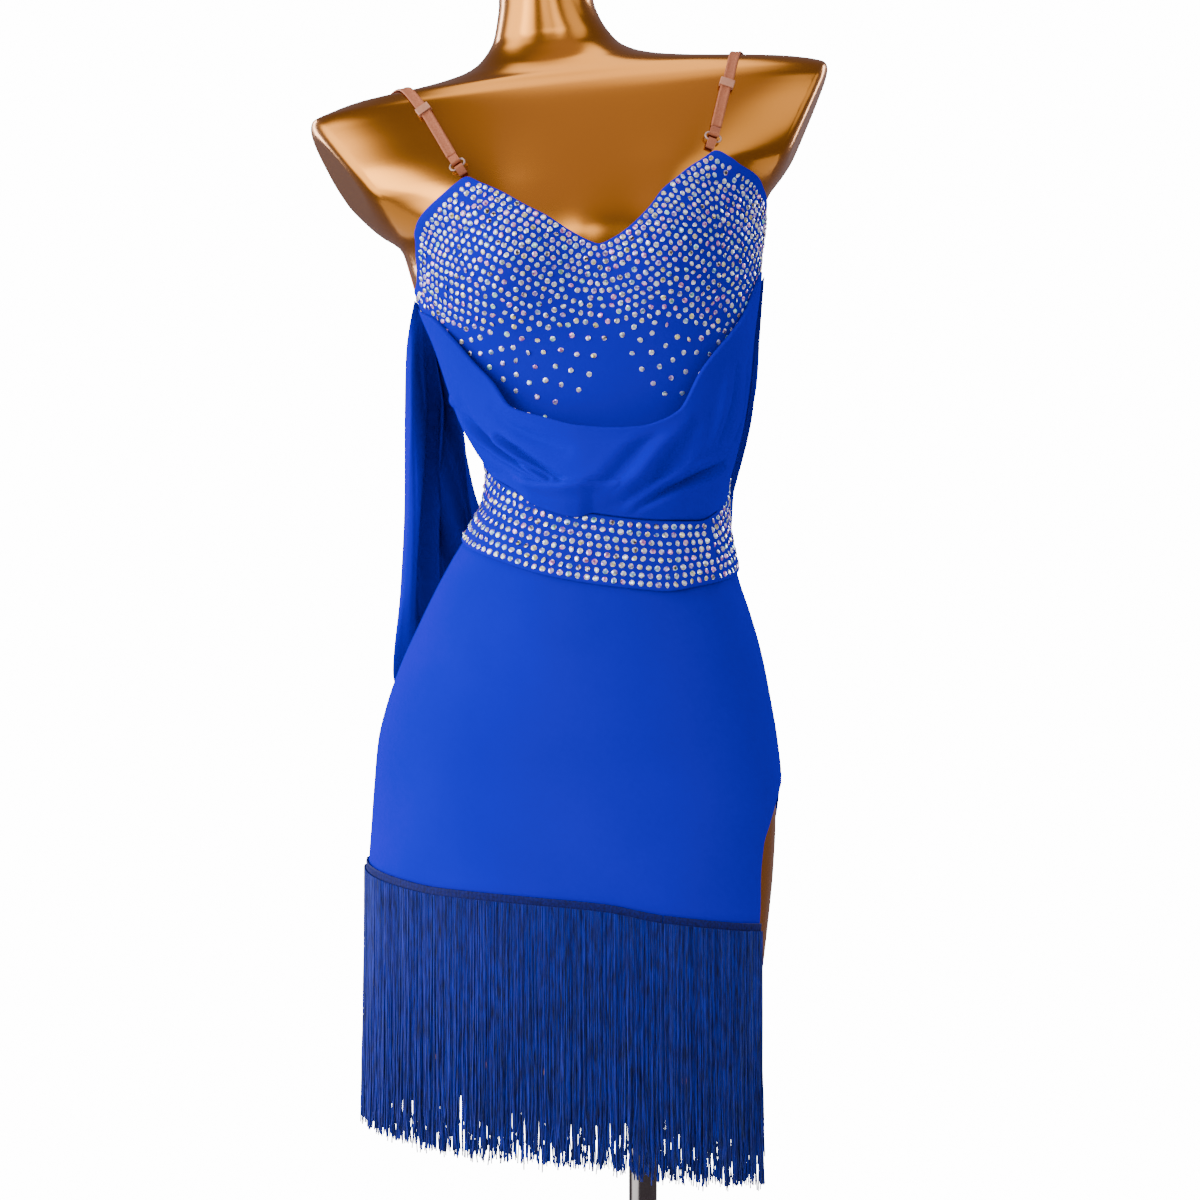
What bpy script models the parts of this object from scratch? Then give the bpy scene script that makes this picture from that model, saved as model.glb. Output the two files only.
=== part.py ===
"""Salsa dance dress on a limbless dress form with a pole and a round base.

+X is the dress's own left side, -Y its front and +Z up. The origin is the middle of the
base's underside, on the pole's axis. Tables are in millimetres and degrees. A turn is an
angle round the figure: 0 is the front, 90 the dress's own left side and -90 its right.
"""

import math
from collections import namedtuple

import bmesh
import bpy
import numpy as np
from mathutils import Matrix, Vector
from mathutils.bvhtree import BVHTree

MM = 0.001
COLLECTION = "salsa_dance_dress_on_form"

# Cloth and how it lies on the form.
CLOTH = 1.2
GAP = 0.3
FORM_EASE = 1.0
LAYER = CLOTH + 0.9
SEAM = 0.6

# Figure sections, from the lower end to the neck. low_x and high_x are the two sides of
# the outline, front and back its depth, mid the depth of the widest line, and tilt the
# slope of the section from side to side.
Section = namedtuple("Section", "height low_x high_x front back mid tilt")
FIGURE = [
    Section(549, -190, 76, -64, 66, 0, -0.086),
    Section(556, -199, 85, -73, 74, 0, -0.086),
    Section(589, -204, 95, -78, 79, 0, -0.086),
    Section(640, -211, 102, -83, 87, 0, -0.087),
    Section(691, -218, 108, -87, 97, 1, -0.087),
    Section(733, -222, 112, -90, 108, 2, -0.088),
    Section(776, -224, 114, -93, 117, 3, -0.089),
    Section(810, -223, 114, -95, 119, 4, -0.089),
    Section(844, -216, 112.5, -97, 116, 4, -0.090),
    Section(878, -204, 107, -97, 110, 4, -0.090),
    Section(912, -189, 100, -96, 102, 3, -0.089),
    Section(946, -173, 90, -93, 94, 2, -0.087),
    Section(971, -160, 81, -89, 88, 1, -0.084),
    Section(997, -145, 74, -85, 83, 0, -0.078),
    Section(1022, -133, 69.5, -81, 80, 0, -0.066),
    Section(1048, -129.5, 69, -79, 80, 0, -0.049),
    Section(1073, -138, 73.5, -79, 81, 1, -0.025),
    Section(1099, -149, 80, -81, 83, 1, 0.000),
    Section(1133, -161, 86, -84, 87, 2, 0.027),
    Section(1167, -173, 91, -87, 92, 2, 0.052),
    Section(1201, -187, 97, -91, 97, 3, 0.075),
    Section(1226, -195, 100, -94, 100, 3, 0.087),
    Section(1248, -202, 103, -95, 101, 4, 0.098),
    Section(1260, -208, 104, -94, 101, 4, 0.100),
    Section(1273, -228, 109, -92, 100, 5, 0.101),
    Section(1288, -252, 128, -89, 99, 5, 0.102),
    Section(1303, -276, 155, -85, 98, 6, 0.102),
    Section(1328, -291, 172, -77, 94, 7, 0.104),
    Section(1350, -292, 178, -69, 89, 8, 0.106),
    Section(1367, -289, 175, -62, 83, 9, 0.106),
    Section(1377, -283, 166, -57, 78, 9, 0.106),
    Section(1384, -266, 153, -53, 75, 10, 0.106),
    Section(1389, -246, 132, -50, 73, 10, 0.106),
    Section(1393, -213, 104, -47, 71, 11, 0.106),
    Section(1397, -180, 58, -44, 69, 11, 0.105),
    Section(1402, -156, 20, -41, 68, 12, 0.103),
    Section(1408, -143, -3, -39, 67, 13, 0.099),
    Section(1416, -135, -18, -37, 66, 14, 0.094),
    Section(1426, -129, -27, -36, 65, 14, 0.085),
    Section(1439, -126, -35, -36, 64, 14, 0.070),
    Section(1456, -124, -41, -36, 63, 14, 0.050),
    Section(1486, -124, -43, -37, 63, 13, 0.040),
    Section(1492, -118, -49, -31, 57, 13, 0.040),
]
FORM_RINGS = (
    549, 556, 600, 660, 720, 776, 810, 844, 878, 912, 946, 971, 997, 1022, 1043, 1060, 1079,
    1102, 1133, 1167, 1195, 1212, 1227, 1242, 1256, 1268, 1279, 1291, 1306, 1328, 1350, 1367,
    1377, 1387, 1395, 1402, 1411, 1439, 1486, 1492,
)
FORM_SIDES = 40
ROUNDNESS = 2.15

# Soft bust of the form: depth at its peak, place and reach.
BUST_DEPTH, BUST_HEIGHT, BUST_OFFSET, BUST_CENTRE = 21, 1234, 72, -48
BUST_REACH, BUST_RISE, BUST_FALL = 52, 62, 50
CUP_EASE, CUP_HEIGHT, CUP_RISE = 3.4, 1256, 56

# The skirt leaves the figure below the hips and falls straight.
SKIRT_FALL = [
    Section(620, -237, 109, -93, 117, 2, -0.087),
    Section(691, -233, 111, -94, 119, 2, -0.087),
    Section(733, -230, 113.5, -95, 120, 3, -0.088),
    Section(776, -227, 115.5, -96, 120, 4, -0.089),
    Section(810, -224, 115, -96, 119, 4, -0.089),
]

# Shoulder ends are cut flat: a point on each cut, its slope and how far it faces ahead.
Cut = namedtuple("Cut", "x z lean ahead")
SHOULDER_CUTS = [Cut(-286, 1350, 33, 0.246), Cut(158, 1397, 23, 0.068)]
CUT_FLOOR = 1225

# Neckline of the bodice's front. Each row is a line of the cloth that starts at the waist
# seam at foot_turn and ends on the neckline.
NeckPoint = namedtuple("NeckPoint", "foot_turn turn height")
NECKLINE = [
    NeckPoint(-89.8, -89.8, 1220),
    NeckPoint(-84, -78.5, 1221.2),
    NeckPoint(-78, -72, 1226),
    NeckPoint(-72, -67.5, 1236),
    NeckPoint(-66, -63.6, 1250),
    NeckPoint(-60, -57.8, 1263),
    NeckPoint(-53.5, -50.5, 1270),
    NeckPoint(-47, -43.5, 1277),
    NeckPoint(-40, -36, 1285),
    NeckPoint(-35, -31, 1291),
    NeckPoint(-30, -26, 1298),
    NeckPoint(-26, -23, 1302),
    NeckPoint(-22.5, -20.5, 1295),
    NeckPoint(-18, -16.5, 1283),
    NeckPoint(-13.5, -12, 1267.5),
    NeckPoint(-9, -7.5, 1255),
    NeckPoint(-5, -3, 1246),
    NeckPoint(-1, 1, 1239.5),
    NeckPoint(3, 4.5, 1236),
    NeckPoint(8, 9.5, 1240),
    NeckPoint(13, 13.5, 1245.5),
    NeckPoint(18, 18, 1254),
    NeckPoint(23, 23.5, 1267.5),
    NeckPoint(27.5, 28, 1283),
    NeckPoint(30.5, 30, 1296),
    NeckPoint(33.5, 32.3, 1304.5),
    NeckPoint(38, 37, 1299.5),
    NeckPoint(44, 43.5, 1293),
    NeckPoint(51, 51, 1287.5),
    NeckPoint(58, 58, 1282.5),
    NeckPoint(65, 65, 1277),
    NeckPoint(71.5, 71.5, 1272),
    NeckPoint(78, 78, 1267),
    NeckPoint(84, 84, 1262.5),
    NeckPoint(89.8, 89.8, 1257),
]
Edge = namedtuple("Edge", "turn height")
# Turn at which the front panels end, beside each side seam.
SIDE = 89.8
BACK_NECKLINE = [Edge(90, 1257), Edge(100, 1237), Edge(114, 1205), Edge(145, 1152), Edge(180, 1128)]
BACK_NECKLINE += [Edge(215, 1152), Edge(248, 1200), Edge(270, 1220)]

# Belt, waist seam, hem and slit.
BELT_TOP = [
    Edge(-90, 1060), Edge(-79, 1055), Edge(-59, 1040), Edge(-33, 1026), Edge(-5, 1015),
    Edge(16, 1013), Edge(46, 1015.5), Edge(58, 1023), Edge(70, 1034), Edge(80, 1046),
    Edge(90, 1058), Edge(135, 1066), Edge(180, 1068), Edge(225, 1066), Edge(270, 1060),
]
BELT_FOOT = [
    Edge(-90, 989), Edge(-80, 986), Edge(-40, 971), Edge(-13, 961), Edge(9, 958),
    Edge(24, 957.5), Edge(43, 965), Edge(80, 980), Edge(90, 984), Edge(135, 997),
    Edge(180, 1002), Edge(225, 997), Edge(270, 989),
]
HEM = [
    Edge(-90, 700), Edge(-54, 690), Edge(-38, 687), Edge(-3, 687.5), Edge(8, 687),
    Edge(26, 681), Edge(64, 677), Edge(110, 680), Edge(140, 688), Edge(180, 694),
    Edge(225, 698), Edge(270, 700),
]
WAIST_SEAM = 0.5
# The belt's end lies over its start, and rises to do so from BELT_RAMP overlaps before it.
BELT_CLOSURE, BELT_OVERLAP, BELT_RAMP = 53, 14, 2.2
BELT_EASE = 0.8
SLIT_LIFT, SLIT_LIFT_TURN, SLIT_LIFT_REACH = 4.2, 67, 21
SLIT_LIFT_HEIGHT, SLIT_LIFT_RISE = 796, 44
SlitEdge = namedtuple("SlitEdge", "height front_turn back_turn")
SLIT = [
    SlitEdge(660, 64, 114),
    SlitEdge(700, 64, 112),
    SlitEdge(735, 62.5, 109),
    SlitEdge(755, 62.5, 106),
    SlitEdge(772, 65, 102),
    SlitEdge(795, 71, 96),
    SlitEdge(825, 89.8, 90.2),
    SlitEdge(1100, 89.8, 90.2),
]


class Through:
    """A smooth curve through table values, which never swings past them."""

    def __init__(self, places, values):
        self.places = np.asarray(places, float)
        self.values = np.asarray(values, float)
        steps = np.diff(self.places)
        rises = np.diff(self.values) / steps
        self.slopes = np.zeros(len(self.places))
        same_way = rises[:-1] * rises[1:] > 0
        before, after = rises[:-1][same_way], rises[1:][same_way]
        self.slopes[1:-1][same_way] = 2 * before * after / (before + after)
        self.slopes[0] = rises[0]
        self.slopes[-1] = rises[-1]

    def __call__(self, at):
        at = np.clip(at, self.places[0], self.places[-1])
        row = np.clip(np.searchsorted(self.places, at) - 1, 0, len(self.places) - 2)
        step = self.places[row + 1] - self.places[row]
        t = (at - self.places[row]) / step
        return (
            (1 + 2 * t) * (1 - t) ** 2 * self.values[row]
            + t * (1 - t) ** 2 * step * self.slopes[row]
            + t * t * (3 - 2 * t) * self.values[row + 1]
            + t * t * (t - 1) * step * self.slopes[row + 1]
        )


def column_curves(rows):
    """One smooth curve for each named column after the first, along the first."""
    places = [row[0] for row in rows]
    return {name: Through(places, [getattr(row, name) for row in rows]) for name in rows[0]._fields[1:]}


class Skin:
    """A surface through sections: where a turn and a height lie on it, and any way out."""

    def __init__(self, rows):
        self.columns = column_curves(rows)

    def on(self, turn, height):
        turn, height = np.broadcast_arrays(np.asarray(turn, float), np.asarray(height, float))
        row = {name: curve(height) for name, curve in self.columns.items()}
        side, ahead = np.sin(np.radians(turn)), np.cos(np.radians(turn))
        reach = (np.abs(side) ** ROUNDNESS + np.abs(ahead) ** ROUNDNESS) ** (-1 / ROUNDNESS)
        middle = (row["low_x"] + row["high_x"]) / 2
        x = middle + (row["high_x"] - row["low_x"]) / 2 * reach * side
        depth = np.where(ahead > 0, row["mid"] - row["front"], row["back"] - row["mid"])
        y = row["mid"] - depth * reach * ahead
        fall = np.where(height > BUST_HEIGHT, BUST_RISE, BUST_FALL)
        rise = np.exp(-(((height - BUST_HEIGHT) / fall) ** 2)) * np.clip(ahead, 0, 1) ** 0.5
        for way in (-1, 1):
            across = (x - BUST_CENTRE - way * BUST_OFFSET) / BUST_REACH
            y = y - BUST_DEPTH * rise * np.exp(-(across**2))
        return np.stack([x, y, height + row["tilt"] * (x - middle)], axis=-1)

    def out_of(self, turn, height):
        step = 0.5
        round_it = self.on(turn + step, height) - self.on(turn - step, height)
        up = self.on(turn, height + step) - self.on(turn, height - step)
        away = np.cross(round_it, up)
        return away / np.linalg.norm(away, axis=-1, keepdims=True)

    def at(self, turn, height, out):
        out = np.asarray(out, float)
        return self.on(turn, height) + self.out_of(turn, height) * out[..., None]


BODY = Skin(FIGURE)
DRESS = Skin(SKIRT_FALL + [row for row in FIGURE if row.height > SKIRT_FALL[-1].height])


def edge_curve(rows):
    return Through([row.turn for row in rows], [row.height for row in rows])


BACK_NECK = edge_curve(BACK_NECKLINE)
BELT_TOP_AT = edge_curve(BELT_TOP)
BELT_FOOT_AT = edge_curve(BELT_FOOT)
HEM_AT = edge_curve(HEM)


def layer(number):
    """How far the inner face of a layer of cloth is from the figure: 0 is next to it."""
    return GAP + number * LAYER


def waist_seam(turn):
    """The seam of bodice and skirt, hidden under the belt."""
    return BELT_FOOT_AT(turn) + WAIST_SEAM * (BELT_TOP_AT(turn) - BELT_FOOT_AT(turn))


# ---------------------------------------------------------------- making objects


def material(name, colour, roughness, metallic=0.0):
    made = bpy.data.materials.new(name)
    made.use_nodes = True
    shader = made.node_tree.nodes["Principled BSDF"]
    shader.inputs["Base Color"].default_value = (*colour, 1.0)
    shader.inputs["Roughness"].default_value = roughness
    shader.inputs["Metallic"].default_value = metallic
    return made


def add_object(name, mesh, surface, collection):
    made = bpy.data.objects.new(name, mesh)
    mesh.materials.append(surface)
    collection.objects.link(made)
    return made


def mesh_of(name, points, faces):
    mesh = bpy.data.meshes.new(name)
    mesh.from_pydata([tuple(point) for point in points], [], faces)
    mesh.update()
    return mesh


def grid_faces(rows, columns):
    return [
        (row * columns + i, row * columns + i + 1, (row + 1) * columns + i + 1, (row + 1) * columns + i)
        for row in range(rows - 1)
        for i in range(columns - 1)
    ]


def cloth(name, points, surface, collection, wall=CLOTH):
    """A wall of cloth from a grid of points in rows, with its thickness on the outer side."""
    rows, columns = points.shape[:2]
    mesh = mesh_of(name, points.reshape(-1, 3) * MM, grid_faces(rows, columns))
    mesh.shade_smooth()
    made = add_object(name, mesh, surface, collection)
    thick = made.modifiers.new("thickness", "SOLIDIFY")
    thick.thickness = wall * MM
    thick.offset = 1.0
    thick.use_even_offset = False
    return made


def between(low, high, steps, pull=1.0):
    """Values from low to high, one row each. A pull over 1 packs the rows near low."""
    share = np.linspace(0, 1, steps + 1)[:, None] ** pull
    return low + share * (high - low)


# ---------------------------------------------------------------- form and stand

POLE_RADIUS = 12
BASE_RADIUS, BASE_HEIGHT, BASE_BEVEL = 180, 8, 2
HUB_RADIUS, HUB_HEIGHT, HUB_LIP, HUB_RISE, HUB_COLLAR, HUB_CHAMFER = 26, 30, 6, 8, 6, 2
FLANGE_RADIUS, FLANGE_HEIGHT, FLANGE_EDGE, FLANGE_NECK = 36, 12, 4, 5
POLE_INSET = 2


def form_body(surface, collection):
    """The gold torso: rings of the figure, with the shoulder ends cut flat."""
    turns = np.arange(FORM_SIDES) * 360 / FORM_SIDES
    rings = [BODY.at(turns, height, np.full(FORM_SIDES, -FORM_EASE)) for height in FORM_RINGS]
    count = len(rings)
    faces = [
        (
            j * FORM_SIDES + i,
            j * FORM_SIDES + (i + 1) % FORM_SIDES,
            (j + 1) * FORM_SIDES + (i + 1) % FORM_SIDES,
            (j + 1) * FORM_SIDES + i,
        )
        for j in range(count - 1)
        for i in range(FORM_SIDES)
    ]
    faces.append(tuple(reversed(range(FORM_SIDES))))
    faces.append(tuple((count - 1) * FORM_SIDES + i for i in range(FORM_SIDES)))
    mesh = mesh_of("form_body", np.concatenate(rings) * MM, faces)
    shape = bmesh.new()
    shape.from_mesh(mesh)
    for cut in SHOULDER_CUTS:
        lean = math.radians(cut.lean)
        side = math.copysign(math.cos(lean), cut.x)
        outward = Vector((side, -abs(side) * cut.ahead, -math.sin(lean)))
        upper = [vert for vert in shape.verts if vert.co.z > CUT_FLOOR * MM]
        edges = {edge for vert in upper for edge in vert.link_edges}
        faces_near = {face for vert in upper for face in vert.link_faces}
        bmesh.ops.bisect_plane(
            shape,
            geom=upper + list(edges) + list(faces_near),
            dist=1e-6,
            plane_co=Vector((cut.x, 0, cut.z)) * MM,
            plane_no=outward,
            clear_outer=True,
        )
        rim = [edge for edge in shape.edges if edge.is_boundary]
        bmesh.ops.holes_fill(shape, edges=rim)
    shape.to_mesh(mesh)
    shape.free()
    mesh.shade_smooth()
    return add_object("form_body", mesh, surface, collection)


def turned(name, profile, surface, collection, steps=24):
    """A piece turned round the pole's axis. Its profile runs down its outer side."""
    mesh = bpy.data.meshes.new(name)
    points = [(radius * MM, 0, height * MM) for radius, height in profile]
    edges = [(i, (i + 1) % len(points)) for i in range(len(points))]
    mesh.from_pydata(points, edges, [])
    made = add_object(name, mesh, surface, collection)
    screw = made.modifiers.new("turn", "SCREW")
    screw.steps = steps
    screw.render_steps = steps
    screw.use_merge_vertices = True
    screw.merge_threshold = 0.00001
    return made


def form_floor(x):
    """Height of the form's lower end above the pole's axis."""
    low, high, tilt = (BODY.columns[name](FORM_RINGS[0]) for name in ("low_x", "high_x", "tilt"))
    return FORM_RINGS[0] + tilt * (x - (low + high) / 2)


def stand(chrome, metal, collection):
    base = bpy.data.meshes.new("stand_base")
    shape = bmesh.new()
    bmesh.ops.create_cone(
        shape,
        cap_ends=True,
        segments=40,
        radius1=BASE_RADIUS * MM,
        radius2=BASE_RADIUS * MM,
        depth=BASE_HEIGHT * MM,
    )
    bmesh.ops.translate(shape, verts=shape.verts, vec=(0, 0, BASE_HEIGHT / 2 * MM))
    shape.to_mesh(base)
    shape.free()
    plate = add_object("stand_base", base, metal, collection)
    bevel = plate.modifiers.new("edge", "BEVEL")
    bevel.width = BASE_BEVEL * MM
    bevel.segments = 1
    bore = POLE_RADIUS + GAP
    foot = BASE_HEIGHT + GAP
    turned(
        "stand_hub",
        [
            (bore, foot + HUB_HEIGHT),
            (bore + HUB_COLLAR - HUB_CHAMFER, foot + HUB_HEIGHT),
            (bore + HUB_COLLAR, foot + HUB_HEIGHT - HUB_CHAMFER),
            (HUB_RADIUS, foot + HUB_RISE),
            (HUB_RADIUS + HUB_LIP, foot + HUB_CHAMFER),
            (HUB_RADIUS + HUB_LIP, foot),
            (bore, foot),
        ],
        chrome,
        collection,
    )
    top = form_floor(0) - POLE_INSET
    shelf = top - 1
    turned(
        "stand_pole",
        [(0, top), (POLE_RADIUS, top), (POLE_RADIUS, foot), (0, foot)],
        chrome,
        collection,
    )
    turned(
        "stand_flange",
        [
            (bore, shelf),
            (FLANGE_RADIUS, shelf),
            (FLANGE_RADIUS, shelf - FLANGE_EDGE),
            (bore + FLANGE_NECK, top - FLANGE_HEIGHT),
            (bore, top - FLANGE_HEIGHT),
        ],
        chrome,
        collection,
    )


# ---------------------------------------------------------------- bodice, skirt and belt

# Rows and columns of each wall of cloth. A pull over 1 packs its rows near the waist.
BODICE_ROWS, BODICE_PULL = 13, 1.15
BACK_COLUMNS, BACK_ROWS, BACK_PULL = 25, 7, 1.35
SKIRT_COLUMNS, SKIRT_ROWS, SKIRT_PULL = 20, 12, 1.25
BELT_COLUMNS, BELT_ROWS = 49, 4


def bodice_front(surface, collection):
    neck = column_curves(NECKLINE)
    foot_turns = np.array([row.foot_turn for row in NECKLINE])
    low, high = waist_seam(foot_turns) + SEAM, neck["height"](foot_turns)
    turns = between(foot_turns, neck["turn"](foot_turns), BODICE_ROWS, BODICE_PULL)
    heights = between(low, high, BODICE_ROWS, BODICE_PULL)
    cup = np.exp(-(((heights - CUP_HEIGHT) / CUP_RISE) ** 2)) * np.cos(np.radians(turns)) ** 2
    points = BODY.at(turns, heights, layer(0) + CUP_EASE * cup)
    return cloth("bodice_front", points, surface, collection)


def bodice_back(surface, collection):
    turns = np.linspace(180 - SIDE, 180 + SIDE, BACK_COLUMNS)
    heights = between(waist_seam(turns) + SEAM, BACK_NECK(turns), BACK_ROWS, BACK_PULL)
    points = BODY.at(turns[None, :], heights, np.full(heights.shape, layer(0)))
    return cloth("bodice_back", points, surface, collection)


def skirt_panel(name, first, last, surface, collection):
    """A skirt panel whose one edge follows the slit and whose other is the side seam."""
    share = np.linspace(0, 1, SKIRT_COLUMNS + 1)
    top = SLIT[-1].height
    points = []
    for up in 1 - np.linspace(1, 0, SKIRT_ROWS + 1) ** SKIRT_PULL:
        turn = first(top) + share * (last(top) - first(top))
        for _ in range(4):
            height = HEM_AT(turn) + up * (waist_seam(turn) - SEAM - HEM_AT(turn))
            turn = first(height) + share * (last(height) - first(height))
        beside = (turn - SLIT_LIFT_TURN) / SLIT_LIFT_REACH
        above = (height - SLIT_LIFT_HEIGHT) / SLIT_LIFT_RISE
        points.append(DRESS.at(turn, height, layer(0) + SLIT_LIFT * np.exp(-(beside**2) - above**2)))
    return cloth(name, np.array(points), surface, collection)


SLIT_CURVES = column_curves(SLIT)


def skirts(surface, collection):
    skirt_panel(
        "skirt_front",
        lambda height: -SIDE + 0 * np.asarray(height),
        SLIT_CURVES["front_turn"],
        surface,
        collection,
    )
    skirt_panel(
        "skirt_back",
        SLIT_CURVES["back_turn"],
        lambda height: 180 + SIDE + 0 * np.asarray(height),
        surface,
        collection,
    )


def belt(surface, collection):
    """One strip round the waist, whose end overlaps its start."""
    turns = np.linspace(BELT_CLOSURE - BELT_OVERLAP - 360, BELT_CLOSURE, BELT_COLUMNS)
    around = np.where(turns < -90, turns + 360, turns)
    over = np.clip((turns - BELT_CLOSURE) / BELT_OVERLAP + BELT_RAMP, 0, 1)
    out = layer(1) + BELT_EASE + (3 - 2 * over) * over**2 * LAYER
    heights = between(BELT_FOOT_AT(around), BELT_TOP_AT(around), BELT_ROWS)
    points = DRESS.at(turns[None, :], heights, np.broadcast_to(out, heights.shape))
    return cloth("belt", points, surface, collection)


# ---------------------------------------------------------------- drapes

# Upper and lower edge of the front drape: how far it stands off the figure at each turn.
Hang = namedtuple("Hang", "turn height out")
COWL_EDGE = [
    Hang(-89.6, 1206, 2.4),
    Hang(-67, 1193, 5),
    Hang(-55, 1169, 9),
    Hang(-48, 1150, 12),
    Hang(-41, 1133, 16),
    Hang(-34, 1109, 22),
    Hang(-20, 1098, 26),
    Hang(-9, 1091.5, 28),
    Hang(3, 1089.5, 28),
    Hang(14, 1091, 27),
    Hang(22, 1096, 25),
    Hang(29, 1104, 22),
    Hang(38, 1134, 16),
    Hang(45, 1149, 12),
    Hang(54, 1164, 9),
    Hang(64, 1181, 6.5),
    Hang(73, 1203, 4.5),
    Hang(80, 1212, 3),
    Hang(89.6, 1215, 2.4),
]
COWL_FOOT = [
    Hang(-89.6, 1.6, 2.4),
    Hang(-70, 1.8, 4.6),
    Hang(-54, 2.0, 6.5),
    Hang(-45, 1.0, 7.2),
    Hang(-33, -6.0, 7.5),
    Hang(-20, -7.0, 7.5),
    Hang(-12, -5.0, 7.0),
    Hang(-5, 1.6, 5.4),
    Hang(6, 2.0, 4.0),
    Hang(40, 2.0, 3.6),
    Hang(70, 2.0, 3.0),
    Hang(89.6, 2.0, 2.4),
]
# Creases of the front drape: three points along each, its depth and its half width.
Crease = namedtuple("Crease", "turn_a height_a turn_b height_b turn_c height_c depth width")
COWL_CREASES = [
    Crease(-63, 1111, -43.5, 1061, -22, 1038, 5.5, 8),
    Crease(-41.5, 1105, -31, 1087, -16, 1070, 4.0, 7),
    Crease(70, 1072, 32, 1048, -2, 1014, 6.0, 8),
    Crease(34.5, 1079, 27.5, 1059, 16, 1037, 4.5, 7),
    Crease(13.5, 1078, 4, 1058, -7, 1037, 4.0, 7),
    Crease(69, 1138, 73, 1100, 58, 1076, 4.5, 7),
]


def bend(start, middle, end, t):
    """A curve from start to end that passes through middle halfway."""
    pull = 2 * middle - (start + end) / 2
    return (1 - t) ** 2 * start + 2 * t * (1 - t) * pull + t * t * end


MM_PER_DEGREE, CREASE_STEPS, CREASE_FADE = 2.0, 25, 0.12


def crease_depth(turn, height, creases):
    """How far the creases sink the cloth at a turn and a height."""
    sunk = np.zeros(np.broadcast(turn, height).shape)
    for crease in creases:
        nearest = np.full(sunk.shape, 1e9)
        fade = np.zeros(sunk.shape)
        for t in np.linspace(0, 1, CREASE_STEPS):
            x = (turn - bend(crease.turn_a, crease.turn_b, crease.turn_c, t)) * MM_PER_DEGREE
            z = height - bend(crease.height_a, crease.height_b, crease.height_c, t)
            distance = x * x + z * z
            swell = math.sin(math.pi * (CREASE_FADE + (1 - 2 * CREASE_FADE) * t))
            fade = np.where(distance < nearest, swell, fade)
            nearest = np.minimum(distance, nearest)
        sunk = np.maximum(sunk, crease.depth * fade * np.exp(-nearest / crease.width**2))
    return sunk


# The drape keeps to its upper edge's stand-off and falls in to its lower edge's by a power
# of how far up it is, with a belly between. It stays clear of the bodice.
COWL_COLUMNS, COWL_ROWS = 31, 14
COWL_FALL, COWL_BELLY, COWL_LOOSE, COWL_CLEAR = 2.2, 4, 4, 2.2


def front_drape(surface, collection):
    edge, foot = column_curves(COWL_EDGE), column_curves(COWL_FOOT)
    turn = np.linspace(COWL_EDGE[0].turn, COWL_EDGE[-1].turn, COWL_COLUMNS)[None, :]
    down = np.linspace(1, 0, COWL_ROWS)[:, None]
    top = edge["height"](turn)
    bottom = BELT_TOP_AT(turn) + foot["height"](turn)
    height = top + down * (bottom - top)
    share = down**COWL_FALL
    out = edge["out"](turn) * (1 - share) + foot["out"](turn) * share
    belly = COWL_BELLY * np.sin(np.pi * down) * np.cos(np.radians(turn)) ** 0.5
    loose = np.clip(COWL_LOOSE * np.minimum(down, 1 - down), 0, 1)
    sunk = crease_depth(turn, height, COWL_CREASES) * loose
    out = np.maximum(out + belly - sunk, COWL_CLEAR)
    return cloth("front_drape", BODY.at(turn + 0 * down, height, out), surface, collection)


# The back drape hangs in a swag from one side seam to the other: its upper and its lower
# edge, station by station, and how deep its folds are there.
Station = namedtuple("Station", "upper_x upper_y upper_z lower_x lower_y lower_z fold belly")
SWAG = [
    Station(-181, 38, 1187, -194.5, 10, 1201, 1, 0),
    Station(-177, 50, 1160, -202, 12, 1160, 3, 2),
    Station(-167, 66, 1125, -204, 20, 1100, 7, 5),
    Station(-153, 84, 1080, -205, 28, 1030, 9, 8),
    Station(-138, 104, 1030, -209, 34, 955, 9, 10),
    Station(-110, 122, 990, -216, 46, 884, 8, 14),
    Station(-75, 130, 968, -186, 112, 828, 8, 8),
    Station(-35, 132, 962, -112, 142, 792, 8, 4),
    Station(5, 125, 978, -27, 144, 790, 8, 4),
    Station(38, 107, 1015, 42, 128, 836, 8, 6),
    Station(60, 86, 1065, 66, 104, 915, 7, 8),
    Station(75, 66, 1120, 73, 78, 1005, 5, 3),
    Station(88, 52.5, 1170, 95.5, 43.5, 1110, 4, 2),
    Station(93.2, 42, 1206, 103.2, 10, 1221.5, 0.6, 0),
]
SWAG_FOLDS, SWAG_COLUMNS, SWAG_ROWS = 3.5, 28, 16


def back_drape(surface, collection):
    places = np.arange(len(SWAG))
    curves = {name: Through(places, [getattr(row, name) for row in SWAG]) for name in Station._fields}
    along = np.linspace(0, len(SWAG) - 1, SWAG_COLUMNS)
    upper = np.stack([curves["upper_" + axis](along) for axis in "xyz"], axis=-1)
    lower = np.stack([curves["lower_" + axis](along) for axis in "xyz"], axis=-1)
    share = np.linspace(1, 0, SWAG_ROWS)[:, None, None]
    points = upper + share * (lower - upper)
    round_it = np.gradient(points, axis=1)
    up = np.gradient(points, axis=0)
    away = np.cross(up, round_it)
    away /= np.linalg.norm(away, axis=-1, keepdims=True)
    wave = np.cos(2 * np.pi * SWAG_FOLDS * share[..., 0]) * curves["fold"](along)
    bow = np.sin(np.pi * share[..., 0]) * curves["belly"](along)
    points = points + away * (wave + bow)[..., None]
    return cloth("back_drape", points[:, ::-1], surface, collection)


# ---------------------------------------------------------------- fringe

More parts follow.
